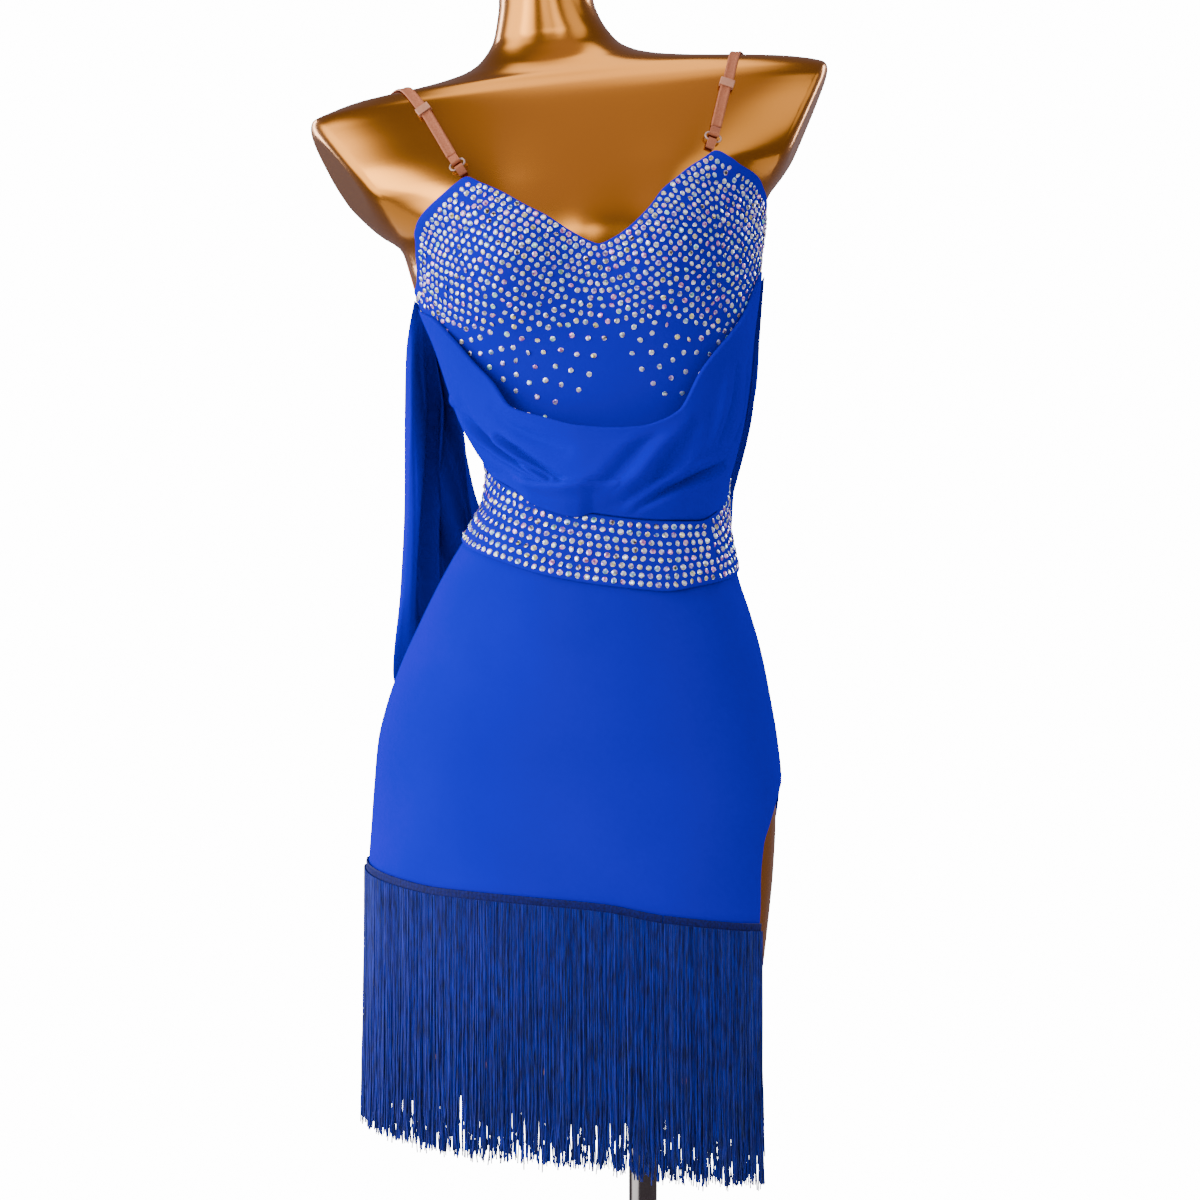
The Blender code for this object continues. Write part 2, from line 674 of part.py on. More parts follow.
FRINGE_TAPE = 12
FRINGE_WALL = 1.2
FRINGE_LENGTH = 207
FRINGE_FLARE = 3.5
STRAND_SHARE, STRAND_TAPER, STRAND_SWAY = 0.52, 0.6, 0.3
STRANDS_IN_A_FACE = 4
Backing = namedtuple("Backing", "name first last strands")
FRINGE = [
    Backing("fringe_front_right", -89.6, 25.4, 56),
    Backing("fringe_front_left", 25.8, 64, 20),
    Backing("fringe_back", 112.6, 269.6, 76),
]


def fringe(backing, surface, collection):
    """A tape along the hem with a row of strands that grow from its lower edge."""
    cells = backing.strands
    pitch = (backing.last - backing.first) / (cells - 1 + STRAND_SHARE)
    starts = backing.first + pitch * np.arange(cells)
    turns = np.stack([starts, starts + pitch * STRAND_SHARE], axis=1).reshape(-1)
    shape = bmesh.new()

    def row(turn, height, out):
        points = DRESS.at(turn, height, np.full(len(turn), out)) * MM
        return [shape.verts.new(point) for point in points]

    inner_out = layer(1)
    outer_out = inner_out + FRINGE_WALL
    group = 2 * STRANDS_IN_A_FACE
    stops = list(range(0, 2 * cells - 1, group))
    if stops[-1] != 2 * cells - 1:
        stops.append(2 * cells - 1)
    foot = HEM_AT(turns)
    low_in, low_out = row(turns, foot, inner_out), row(turns, foot, outer_out)
    top = HEM_AT(turns[stops]) + FRINGE_TAPE
    high_in, high_out = row(turns[stops], top, inner_out), row(turns[stops], top, outer_out)
    for place, (first, last) in enumerate(zip(stops[:-1], stops[1:])):
        below = range(first, last + 1)
        shape.faces.new([low_out[i] for i in below] + [high_out[place + 1], high_out[place]])
        shape.faces.new([high_in[place], high_in[place + 1]] + [low_in[i] for i in reversed(below)])
        shape.faces.new([high_out[place], high_out[place + 1], high_in[place + 1], high_in[place]])
    shape.faces.new([low_in[0], low_out[0], high_out[0], high_in[0]])
    shape.faces.new([low_out[-1], low_in[-1], high_in[-1], high_out[-1]])
    for i in range(1, 2 * cells - 1, 2):
        shape.faces.new([low_in[i], low_in[i + 1], low_out[i + 1], low_out[i]])
    for i in range(0, 2 * cells, 2):
        root = [low_in[i], low_in[i + 1], low_out[i + 1], low_out[i]]
        middle = sum((vert.co for vert in root), Vector()) / 4
        uneven = math.sin(i * 1.7) * 3 + math.sin(i * 0.61) * 2
        drop = (FRINGE_LENGTH + uneven) * MM
        flare = (low_out[i].co - low_in[i].co).normalized() * FRINGE_FLARE * MM
        sway = Vector((math.sin(i * 2.3), math.cos(i * 1.9), 0)) * STRAND_SWAY * MM
        tip = []
        for vert in root:
            place = middle + (vert.co - middle) * STRAND_TAPER + sway + flare
            tip.append(shape.verts.new((place.x, place.y, middle.z - drop)))
        for k in range(4):
            shape.faces.new([root[k], root[(k + 1) % 4], tip[(k + 1) % 4], tip[k]])
        shape.faces.new(tip)
    bmesh.ops.recalc_face_normals(shape, faces=shape.faces)
    mesh = bpy.data.meshes.new(backing.name)
    shape.to_mesh(mesh)
    shape.free()
    return add_object(backing.name, mesh, surface, collection)


# ---------------------------------------------------------------- straps

STRAP_WIDTH, STRAP_WALL = 9, 1.6
STRAP_CLEAR = 0.3
RING_BAR, RING_BEND, RING_WIRE = 3.5, 3.2, 0.8
RING_OUT = 3.2
EYE_CLEAR, EYE_WALL, EYE_TAIL = 0.35, 1.0, 7.0
TAB_WIDTH, LOOP_WIDTH = 7, 8
SLIDER_LENGTH, SLIDER_BAR, SLIDER_LIFT = 7, 1.1, 1.6
# The band starts this far below the ring's middle, beyond the turned-back end.
BAND_DROP = 2.1
END_LIFT = 1.0
# Where each strap runs: front ring, slider, shoulder and the back, then the underarm.
Stop = namedtuple("Stop", "x y z")
Strap = namedtuple("Strap", "side ring slider over back end")
STRAPS = [
    Strap(
        "right",
        Stop(-154, -80, 1305),
        Stop(-180, -40, 1348),
        Stop(-211, 8, 1379),
        Stop(-214, 80, 1310),
        Edge(262, 1216.5),
    ),
    Strap(
        "left",
        Stop(58, -80, 1330),
        Stop(67, -40, 1369),
        Stop(82, 8, 1411),
        Stop(86, 80, 1345),
        Edge(102, 1235.5),
    ),
]


def body_tree():
    """The figure as a fine closed surface, to lay straps on."""
    turns = np.arange(0, 360, 4.0)
    heights = np.arange(1190, 1440, 5.0)
    points = BODY.on(turns[None, :], heights[:, None])
    rows, columns = points.shape[:2]
    faces = [
        (
            j * columns + i,
            j * columns + (i + 1) % columns,
            (j + 1) * columns + (i + 1) % columns,
            (j + 1) * columns + i,
        )
        for j in range(rows - 1)
        for i in range(columns)
    ]
    return BVHTree.FromPolygons([Vector(point) for point in points.reshape(-1, 3)], faces)


def lay_taut(tree, start, end, out, count):
    """A strap's middle line pulled taut from start to end over the figure."""
    line = [start.lerp(end, i / count) for i in range(count + 1)]
    for _ in range(120):
        for i in range(1, count):
            point = (line[i - 1] + line[i + 1]) / 2
            near, normal, _, _ = tree.find_nearest(point)
            height = (point - near).dot(normal)
            line[i] = point if height > out else near + normal * out
    return line


def seat(tree, point, out):
    near, normal, _, _ = tree.find_nearest(Vector(point))
    return near + normal * out, normal


def frame_matrix(along, normal, origin):
    """Axes of a small piece: along the strap, out of the figure and across the strap."""
    along = along.normalized()
    normal = (normal - along * normal.dot(along)).normalized()
    across = along.cross(normal)
    turn = Matrix((along, normal, across)).transposed().to_4x4()
    return Matrix.Translation(origin * MM) @ turn


def flat_piece(name, outlines, thickness, place, surface, collection):
    """A flat outline with its holes, given a thickness across the strap."""
    curve = bpy.data.curves.new(name, "CURVE")
    curve.dimensions = "2D"
    curve.fill_mode = "BOTH"
    curve.extrude = thickness / 2 * MM
    for outline in outlines:
        spline = curve.splines.new("POLY")
        spline.points.add(len(outline) - 1)
        for point, (x, y) in zip(spline.points, outline):
            point.co = (x * MM, y * MM, 0, 1)
        spline.use_cyclic_u = True
    made = add_object(name, curve, surface, collection)
    made.matrix_world = place
    return made


def circle(radius, steps, first=0, last=360):
    angles = [math.radians(first + (last - first) * i / steps) for i in range(steps)]
    return [(radius * math.cos(angle), radius * math.sin(angle)) for angle in angles]


def eye(name, width, place, surface, collection):
    """A turned-back end of elastic: a loop round the ring's bar, with its flat tail."""
    hole = RING_WIRE + EYE_CLEAR
    outer = hole + EYE_WALL
    outline = circle(outer, 10, -90, 150)
    outline += [(-EYE_TAIL, -outer + 2 * EYE_WALL), (-EYE_TAIL, -outer)]
    return flat_piece(name, [outline, circle(hole, 10)], width, place, surface, collection)


def ring(name, place, surface, collection):
    """An oval ring: two bars across the strap, joined by round ends."""
    half = 6
    path = []
    for side in (-1, 1):
        for i in range(half + 1):
            angle = math.pi * i / half - (math.pi / 2 if side > 0 else -math.pi / 2)
            path.append((RING_BEND * math.sin(angle), side * RING_BAR + RING_BEND * math.cos(angle)))
    curve = bpy.data.curves.new(name, "CURVE")
    curve.dimensions = "3D"
    curve.bevel_depth = RING_WIRE * MM
    curve.bevel_resolution = 1
    spline = curve.splines.new("POLY")
    spline.points.add(len(path) - 1)
    for point, (along, across) in zip(spline.points, path):
        point.co = (along * MM, 0, across * MM, 1)
    spline.use_cyclic_u = True
    made = add_object(name, curve, surface, collection)
    made.matrix_world = place
    return made


def strap(row, tree, elastic, plastic, collection):
    """One shoulder strap: tab, ring, turned-back end, band and slider."""
    middle, normal = seat(tree, row.ring, RING_OUT)
    toward = Vector(row.slider) - Vector(row.ring)
    toward = (toward - normal * toward.dot(normal)).normalized()
    ring("ring_" + row.side, frame_matrix(toward, normal, middle), plastic, collection)
    low, high = middle - toward * RING_BEND, middle + toward * RING_BEND
    eye("strap_tab_" + row.side, TAB_WIDTH, frame_matrix(toward, normal, low), elastic, collection)
    eye("strap_fold_" + row.side, LOOP_WIDTH, frame_matrix(-toward, normal, high), elastic, collection)
    first = high + toward * (EYE_TAIL + 3 * GAP) - normal * BAND_DROP
    slider, slider_normal = seat(tree, row.slider, STRAP_CLEAR + SLIDER_LIFT)
    over, _ = seat(tree, row.over, STRAP_CLEAR)
    back, _ = seat(tree, row.back, STRAP_CLEAR)
    end = Vector(BODY.at(row.end.turn, row.end.height + END_LIFT, np.array(STRAP_CLEAR)))
    run = over - first
    run = (run - slider_normal * run.dot(slider_normal)).normalized()
    line = lay_taut(tree, first, slider - run * SLIDER_LENGTH, STRAP_CLEAR, 4) + [slider]
    line += lay_taut(tree, slider + run * SLIDER_LENGTH, over, STRAP_CLEAR, 6)
    line += lay_taut(tree, over, back, STRAP_CLEAR, 12)[1:]
    line += lay_taut(tree, back, end, STRAP_CLEAR, 12)[1:]
    rows = []
    for i, point in enumerate(line):
        along = (line[min(i + 1, len(line) - 1)] - line[max(i - 1, 0)]).normalized()
        _, away = seat(tree, point, 0)
        across = away.cross(along).normalized()
        rows.append([point - across * STRAP_WIDTH / 2, point + across * STRAP_WIDTH / 2])
    points = np.array([[tuple(point) for point in row] for row in rows])
    cloth("strap_" + row.side, points[:, ::-1], elastic, collection, STRAP_WALL)
    place = frame_matrix(run, slider_normal, slider + slider_normal * STRAP_WALL / 2)
    inner_x, inner_y = STRAP_WIDTH / 2 + GAP, STRAP_WALL / 2 + GAP
    outlines = []
    for x, y in ((inner_x + SLIDER_BAR, inner_y + SLIDER_BAR), (inner_x, inner_y)):
        outlines.append([(-x, -y), (x, -y), (x, y), (-x, y)])
    lying = place @ Matrix(((0, 0, 1, 0), (0, 1, 0, 0), (-1, 0, 0, 0), (0, 0, 0, 1)))
    flat_piece("slider_" + row.side, outlines, SLIDER_LENGTH, lying, plastic, collection)


def straps(elastic, plastic, collection):
    tree = body_tree()
    for row in STRAPS:
        strap(row, tree, elastic, plastic, collection)


def main():
    for obj in list(bpy.data.objects):
        bpy.data.objects.remove(obj, do_unlink=True)
    collection = bpy.data.collections.new(COLLECTION)
    bpy.context.scene.collection.children.link(collection)
    gold = material("gold_form", (0.62, 0.36, 0.10), 0.28, 0.85)
    chrome = material("chrome", (0.75, 0.75, 0.77), 0.15, 1.0)
    steel = material("steel_base", (0.55, 0.55, 0.57), 0.3, 1.0)
    blue = material("royal_blue_cloth", (0.02, 0.07, 0.62), 0.6)
    deep = material("fringe_blue", (0.02, 0.06, 0.36), 0.55)
    elastic = material("nude_elastic", (0.62, 0.29, 0.17), 0.65)
    plastic = material("nude_plastic", (0.80, 0.50, 0.38), 0.3)
    form_body(gold, collection)
    stand(chrome, steel, collection)
    bodice_front(blue, collection)
    bodice_back(blue, collection)
    skirts(blue, collection)
    belt(blue, collection)
    front_drape(blue, collection)
    back_drape(blue, collection)
    for backing in FRINGE:
        fringe(backing, deep, collection)
    straps(elastic, plastic, collection)


if __name__ == "__main__":
    main()
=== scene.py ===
"""Salsa dance dress on a gold dress form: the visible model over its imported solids.

+X is the dress's own left side, -Y its front and +Z up. Tables are in millimetres and
degrees. A turn is an angle round the figure: 0 is the front, 90 the dress's own left side
and -90 its right.
"""

import math
from collections import namedtuple
from contextlib import contextmanager

import bmesh
import bpy
import numpy as np
from mathutils import Matrix, Vector
from mathutils.bvhtree import BVHTree
from mathutils.kdtree import KDTree


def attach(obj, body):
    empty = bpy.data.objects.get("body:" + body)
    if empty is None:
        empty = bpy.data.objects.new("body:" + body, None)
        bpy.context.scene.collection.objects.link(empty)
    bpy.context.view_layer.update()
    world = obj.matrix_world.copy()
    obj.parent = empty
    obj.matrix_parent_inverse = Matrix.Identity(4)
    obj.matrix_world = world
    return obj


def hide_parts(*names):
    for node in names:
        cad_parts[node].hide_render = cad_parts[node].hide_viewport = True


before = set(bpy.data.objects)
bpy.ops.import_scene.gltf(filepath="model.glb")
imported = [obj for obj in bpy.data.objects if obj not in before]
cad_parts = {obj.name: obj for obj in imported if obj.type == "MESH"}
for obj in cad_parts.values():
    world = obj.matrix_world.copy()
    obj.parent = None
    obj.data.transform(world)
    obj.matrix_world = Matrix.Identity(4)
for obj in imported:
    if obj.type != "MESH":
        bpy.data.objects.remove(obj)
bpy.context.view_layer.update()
dice = np.random.default_rng(11)

MM = 0.001
# Cloth and how it lies on the form.
CLOTH, GAP, FORM_EASE, SEAM = 1.2, 0.3, 1.0, 0.6
LAYER = CLOTH + 0.9
TRACE = 0.05


def table(fields, *rows):
    kind = namedtuple("Row", fields)
    return [kind(*row) for row in rows]


class Through:
    """A smooth curve through table values, which never swings past them."""

    def __init__(self, places, values):
        self.places = np.asarray(places, float)
        self.values = np.asarray(values, float)
        rises = np.diff(self.values) / np.diff(self.places)
        self.slopes = np.zeros(len(self.places))
        same_way = rises[:-1] * rises[1:] > 0
        before, after = rises[:-1][same_way], rises[1:][same_way]
        self.slopes[1:-1][same_way] = 2 * before * after / (before + after)
        self.slopes[[0, -1]] = rises[[0, -1]]

    def __call__(self, at):
        at = np.clip(at, self.places[0], self.places[-1])
        row = np.clip(np.searchsorted(self.places, at) - 1, 0, len(self.places) - 2)
        step = self.places[row + 1] - self.places[row]
        t = (at - self.places[row]) / step
        return (
            (1 + 2 * t) * (1 - t) ** 2 * self.values[row]
            + t * (1 - t) ** 2 * step * self.slopes[row]
            + t * t * (3 - 2 * t) * self.values[row + 1]
            + t * t * (t - 1) * step * self.slopes[row + 1]
        )


def column_curves(rows):
    """One smooth curve for each named column after the first, along the first."""
    columns = dict(zip(rows[0]._fields, zip(*rows)))
    return {name: Through(rows_at(rows), columns[name]) for name in rows[0]._fields[1:]}


def rows_at(rows):
    return [row[0] for row in rows]


def edge(*rows):
    """A smooth edge of cloth through rows of turn and height."""
    return Through(*zip(*rows))


# Figure sections, from the lower end to the neck. low_x and high_x are the two sides of
# the outline, front and back its depth, mid the depth of the widest line, and tilt the
# slope of the section from side to side.
SECTION = "height low_x high_x front back mid tilt"
FIGURE = table(
    SECTION,
    (549, -190, 76, -64, 66, 0, -0.086), (556, -199, 85, -73, 74, 0, -0.086),
    (589, -204, 95, -78, 79, 0, -0.086), (640, -211, 102, -83, 87, 0, -0.087),
    (691, -218, 108, -87, 97, 1, -0.087), (733, -222, 112, -90, 108, 2, -0.088),
    (776, -224, 114, -93, 117, 3, -0.089), (810, -223, 114, -95, 119, 4, -0.089),
    (844, -216, 112.5, -97, 116, 4, -0.090), (878, -204, 107, -97, 110, 4, -0.090),
    (912, -189, 100, -96, 102, 3, -0.089), (946, -173, 90, -93, 94, 2, -0.087),
    (971, -160, 81, -89, 88, 1, -0.084), (997, -145, 74, -85, 83, 0, -0.078),
    (1022, -133, 69.5, -81, 80, 0, -0.066), (1048, -129.5, 69, -79, 80, 0, -0.049),
    (1073, -138, 73.5, -79, 81, 1, -0.025), (1099, -149, 80, -81, 83, 1, 0.000),
    (1133, -161, 86, -84, 87, 2, 0.027), (1167, -173, 91, -87, 92, 2, 0.052),
    (1201, -187, 97, -91, 97, 3, 0.075), (1226, -195, 100, -94, 100, 3, 0.087),
    (1248, -202, 103, -95, 101, 4, 0.098), (1260, -208, 104, -94, 101, 4, 0.100),
    (1273, -228, 109, -92, 100, 5, 0.101), (1288, -252, 128, -89, 99, 5, 0.102),
    (1303, -276, 155, -85, 98, 6, 0.102), (1328, -291, 172, -77, 94, 7, 0.104),
    (1350, -292, 178, -69, 89, 8, 0.106), (1367, -289, 175, -62, 83, 9, 0.106),
    (1377, -283, 166, -57, 78, 9, 0.106), (1384, -266, 153, -53, 75, 10, 0.106),
    (1389, -246, 132, -50, 73, 10, 0.106), (1393, -213, 104, -47, 71, 11, 0.106),
    (1397, -180, 58, -44, 69, 11, 0.105), (1402, -156, 20, -41, 68, 12, 0.103),
    (1408, -143, -3, -39, 67, 13, 0.099), (1416, -135, -18, -37, 66, 14, 0.094),
    (1426, -129, -27, -36, 65, 14, 0.085), (1439, -126, -35, -36, 64, 14, 0.070),
    (1456, -124, -41, -36, 63, 14, 0.050), (1486, -124, -43, -37, 63, 13, 0.040),
    (1492, -118, -49, -31, 57, 13, 0.040),
)
ROUNDNESS = 2.15

# Soft bust of the form: depth at its peak, place and reach.
BUST_DEPTH, BUST_HEIGHT, BUST_OFFSET, BUST_CENTRE = 21, 1234, 72, -48
BUST_REACH, BUST_RISE, BUST_FALL = 52, 62, 50
CUP_EASE, CUP_HEIGHT, CUP_RISE = 3.4, 1256, 56

# The skirt leaves the figure below the hips and falls straight.
SKIRT_FALL = table(
    SECTION,
    (620, -237, 109, -93, 117, 2, -0.087), (691, -233, 111, -94, 119, 2, -0.087),
    (733, -230, 113.5, -95, 120, 3, -0.088), (776, -227, 115.5, -96, 120, 4, -0.089),
    (810, -224, 115, -96, 119, 4, -0.089),
)

# Shoulder ends are cut flat: a point on each cut, its slope and how far it faces ahead.
SHOULDER_CUTS = table("x z lean ahead", (-286, 1350, 33, 0.246), (158, 1397, 23, 0.068))
CUT_FLOOR = 1225

# Turn at which the front panels end, beside each side seam.
SIDE = 89.8
# Neckline of the bodice's front. Each row is a line of the cloth that starts at the waist
# seam at foot_turn and ends on the neckline.
NECKLINE = table(
    "foot_turn turn height",
    (-SIDE, -SIDE, 1220), (-84, -78.5, 1221.2), (-78, -72, 1226), (-72, -67.5, 1236),
    (-66, -63.6, 1250), (-60, -57.8, 1263), (-53.5, -50.5, 1270), (-47, -43.5, 1277),
    (-40, -36, 1285), (-35, -31, 1291), (-30, -26, 1298), (-26, -23, 1302),
    (-22.5, -20.5, 1295), (-18, -16.5, 1283), (-13.5, -12, 1267.5), (-9, -7.5, 1255),
    (-5, -3, 1246), (-1, 1, 1239.5), (3, 4.5, 1236), (8, 9.5, 1240), (13, 13.5, 1245.5),
    (18, 18, 1254), (23, 23.5, 1267.5), (27.5, 28, 1283), (30.5, 30, 1296),
    (33.5, 32.3, 1304.5), (38, 37, 1299.5), (44, 43.5, 1293), (51, 51, 1287.5),
    (58, 58, 1282.5), (65, 65, 1277), (71.5, 71.5, 1272), (78, 78, 1267),
    (84, 84, 1262.5), (SIDE, SIDE, 1257),
)
BACK_NECK = edge(
    (90, 1257), (100, 1237), (114, 1205), (145, 1152), (180, 1128), (215, 1152), (248, 1200),
    (270, 1220),
)

# Belt, waist seam, hem and slit.
BELT_TOP = edge(
    (-90, 1060), (-79, 1055), (-59, 1040), (-33, 1026), (-5, 1015), (16, 1013), (46, 1015.5),
    (58, 1023), (70, 1034), (80, 1046), (90, 1058), (135, 1066), (180, 1068), (225, 1066),
    (270, 1060),
)
BELT_FOOT = edge(
    (-90, 989), (-80, 986), (-40, 971), (-13, 961), (9, 958), (24, 957.5), (43, 965), (80, 980),
    (90, 984), (135, 997), (180, 1002), (225, 997), (270, 989),
)
HEM = edge(
    (-90, 700), (-54, 690), (-38, 687), (-3, 687.5), (8, 687), (26, 681), (64, 677), (110, 680),
    (140, 688), (180, 694), (225, 698), (270, 700),
)
WAIST_SEAM = 0.5
# The belt's end lies over its start, and rises to do so from BELT_RAMP overlaps before it.
BELT_CLOSURE, BELT_OVERLAP, BELT_RAMP = 53, 14, 2.2
BELT_EASE = 0.8
# The skirt lifts a little beside the slit.
SLIT_LIFT, SLIT_LIFT_TURN, SLIT_LIFT_REACH = 4.2, 67, 21
SLIT_LIFT_HEIGHT, SLIT_LIFT_RISE = 796, 44
SLIT = table(
    "height front_turn back_turn",
    (660, 64, 114), (700, 64, 112), (735, 62.5, 109), (755, 62.5, 106), (772, 65, 102),
    (795, 71, 96), (825, SIDE, 180 - SIDE), (1100, SIDE, 180 - SIDE),
)


class Skin:
    """A surface through sections: where a turn and a height lie on it, and any way out."""

    def __init__(self, rows):
        self.columns = column_curves(rows)

    def on(self, turn, height):
        turn, height = np.broadcast_arrays(np.asarray(turn, float), np.asarray(height, float))
        row = {name: curve(height) for name, curve in self.columns.items()}
        side, ahead = np.sin(np.radians(turn)), np.cos(np.radians(turn))
        reach = (np.abs(side) ** ROUNDNESS + np.abs(ahead) ** ROUNDNESS) ** (-1 / ROUNDNESS)
        middle = (row["low_x"] + row["high_x"]) / 2
        x = middle + (row["high_x"] - row["low_x"]) / 2 * reach * side
        depth = np.where(ahead > 0, row["mid"] - row["front"], row["back"] - row["mid"])
        y = row["mid"] - depth * reach * ahead
        fall = np.where(height > BUST_HEIGHT, BUST_RISE, BUST_FALL)
        rise = np.exp(-(((height - BUST_HEIGHT) / fall) ** 2)) * np.clip(ahead, 0, 1) ** 0.5
        for way in (-1, 1):
            across = (x - BUST_CENTRE - way * BUST_OFFSET) / BUST_REACH
            y = y - BUST_DEPTH * rise * np.exp(-(across**2))
        return np.stack([x, y, height + row["tilt"] * (x - middle)], axis=-1)

    def out_of(self, turn, height):
        step = 0.5
        round_it = self.on(turn + step, height) - self.on(turn - step, height)
        up = self.on(turn, height + step) - self.on(turn, height - step)
        away = np.cross(round_it, up)
        return away / np.linalg.norm(away, axis=-1, keepdims=True)

    def at(self, turn, height, out):
        here = self.on(turn, height)
        out = np.broadcast_to(np.asarray(out, float), here.shape[:-1])
        return here + self.out_of(turn, height) * out[..., None]


BODY = Skin(FIGURE)
DRESS = Skin(SKIRT_FALL + [row for row in FIGURE if row.height > SKIRT_FALL[-1].height])


def layer(number):
    """How far the inner face of a layer of cloth is from the figure: 0 is next to it."""
    return GAP + number * LAYER


def waist_seam(turn):
    """The seam of bodice and skirt, hidden under the belt."""
    return BELT_FOOT(turn) + WAIST_SEAM * (BELT_TOP(turn) - BELT_FOOT(turn))


# ---------------------------------------------------------------- materials


def feed(tree, node, inputs):
    """Each input is a value or another node's output."""
    for name, value in inputs.items():
        socket = node.inputs[name.replace("_", " ") if isinstance(name, str) else name]
        if isinstance(value, bpy.types.NodeSocket):
            tree.links.new(value, socket)
        else:
            socket.default_value = value
    return node


def new_node(tree, kind, **inputs):
    return feed(tree, tree.nodes.new("ShaderNode" + kind), inputs)


class Look:
    """A procedural material, whose colour and bumps come from noise in object space."""

    def __init__(self, name, roughness, metallic=0.0, **sockets):
        self.made = bpy.data.materials.new(name)
        self.made.use_nodes = True
        self.tree = self.made.node_tree
        self.feed(Roughness=roughness, Metallic=metallic, **sockets)

    def feed(self, **inputs):
        feed(self.tree, self.tree.nodes["Principled BSDF"], inputs)

    def noise(self, scale, detail=2.0, stretch=(1, 1, 1)):
        where = new_node(self.tree, "TexCoord").outputs["Object"]
        scaled = new_node(self.tree, "Mapping", Vector=where, Scale=stretch).outputs["Vector"]
        made = new_node(self.tree, "TexNoise", Vector=scaled, Scale=scale, Detail=detail)
        return made.outputs["Fac"]

    def colour(self, factor, *stops):
        """The base colour goes through stops, each a position and a colour."""
        ramp = new_node(self.tree, "ValToRGB", Fac=factor)
        elements = ramp.color_ramp.elements
        while len(elements) < len(stops):
            elements.new(0.5)
        for element, (position, colour) in zip(elements, stops):
            element.position = position
            element.color = (*colour, 1.0)
        self.feed(Base_Color=ramp.outputs["Color"])

    def bump(self, height, strength, depth):
        made = new_node(self.tree, "Bump", Height=height, Strength=strength, Distance=depth * MM)
        self.feed(Normal=made.outputs["Normal"])


def jersey(name, roughness):
    """Smooth stretch jersey: fine knit, a soft sheen and slow changes of depth."""
    blue_sheen = {"Sheen_Weight": 0.02, "Sheen_Roughness": 0.4, "Sheen_Tint": (0.02, 0.03, 1, 1)}
    look = Look(name, roughness, Specular_IOR_Level=0.0, **blue_sheen)
    slow = look.noise(9.0, 3.0)
    look.colour(slow, (0.3, (0.0088, 0.0002, 0.47)), (0.7, (0.0112, 0.0003, 0.53)))
    look.bump(look.noise(1.0, 1.0, (1900, 1900, 1300)), 0.35, 0.12)
    return look.made


# The rayon's colour noise is long along the strands, about 17 mm, so each strand goes from its dark
# to its light colour in spans: painted highlights of its twist.
YARNS = table(
    "name dark light stretch roughness sheen",
    ("fringe_rayon", (0.0026, 0.0045, 0.054), (0.0085, 0.017, 0.37), (900, 900, 60), 0.42, 0.18),
    ("fringe_braid", (0.0018, 0.003, 0.06), (0.0036, 0.006, 0.15), (700, 700, 500), 0.6, 0.1),
    ("nude_elastic", (0.37, 0.113, 0.05), (0.48, 0.168, 0.084), (900, 900, 900), 0.55, 0.05),
)


def yarn(name, dark, light, stretch, roughness, sheen):
    """Twisted yarn or braid: its colour changes from strand to strand, and along the fringe's
    strands it goes light and dark in short spans, painted highlights of the twist.
    """
    pale_sheen = {"Sheen_Weight": sheen, "Sheen_Roughness": 0.35, "Sheen_Tint": (0.4, 0.6, 1, 1)}
    look = Look(name, roughness, Specular_IOR_Level=0.18, **pale_sheen)
    look.colour(look.noise(1.0, 2.0, stretch), (0.32, dark), (0.66, light))
    look.bump(look.noise(1.0, 1.0, (1500, 1500, 900)), 0.5, 0.25)
    return look.made


def lacquer(name):
    """Metallic gold lacquer, brown where it reflects little, under a clear coat."""
    look = Look(name, 0.2, 0.97, Coat_Weight=0.025, Coat_Roughness=0.06, Coat_IOR=1.45)
    look.colour(look.noise(6.0), (0.3, (0.52, 0.195, 0.025)), (0.7, (0.56, 0.212, 0.03)))
    look.bump(look.noise(1400.0, 1.0), 0.05, 0.05)
    return look.made


def metal(name, colour, roughness, streaks):
    look = Look(name, roughness, 1.0)
    fine = look.noise(1.0, 2.0, streaks)
    look.colour(fine, (0.3, tuple(0.9 * value for value in colour)), (0.7, colour))
    look.bump(fine, 0.04, 0.05)
    return look.made


def plastic(name, dark, light, roughness, see_through=0.0):
    look = Look(name, roughness, Transmission_Weight=see_through, IOR=1.49, Specular_IOR_Level=0.5)
    look.colour(look.noise(160.0), (0.3, dark), (0.7, light))
    return look.made


# Tints of the stones, with the share of the stones that has each.
CRYSTALS = table(
    "tint colour metallic share",
    ("clear", (0.86, 0.93, 1.0), 0.48, 0.36),
    ("sky", (0.28, 0.60, 1.0), 0.48, 0.12),
    ("rose", (1.0, 0.30, 0.84), 0.48, 0.17),
    ("straw", (1.0, 0.92, 0.34), 0.48, 0.12),
    ("mint", (0.34, 1.0, 0.86), 0.48, 0.05),
    ("lilac", (0.52, 0.34, 1.0), 0.48, 0.12),
    ("amber", (0.22, 0.16, 0.14), 0.72, 0.06),
)


def crystal(tint, colour, metallic):
    """A foiled glass stone with a thin colour-changing coat."""
    coat = {"Coat_Weight": 0.4, "Coat_Roughness": 0.04, "Specular_IOR_Level": 0.8}
    look = Look("crystal_" + tint, 0.06, metallic, **coat)
    low = tuple(0.42 * value for value in colour)
    high = tuple(0.45 * value + 0.55 * white for value, white in zip(colour, (0.92, 0.96, 1.0)))
    look.colour(look.noise(330.0, 1.0), (0.36, low), (0.5, colour), (0.64, high))
    return look.made


# ---------------------------------------------------------------- meshes


def add_object(name, data):
    made = bpy.data.objects.new(name, data)
    bpy.context.scene.collection.objects.link(made)
    return made


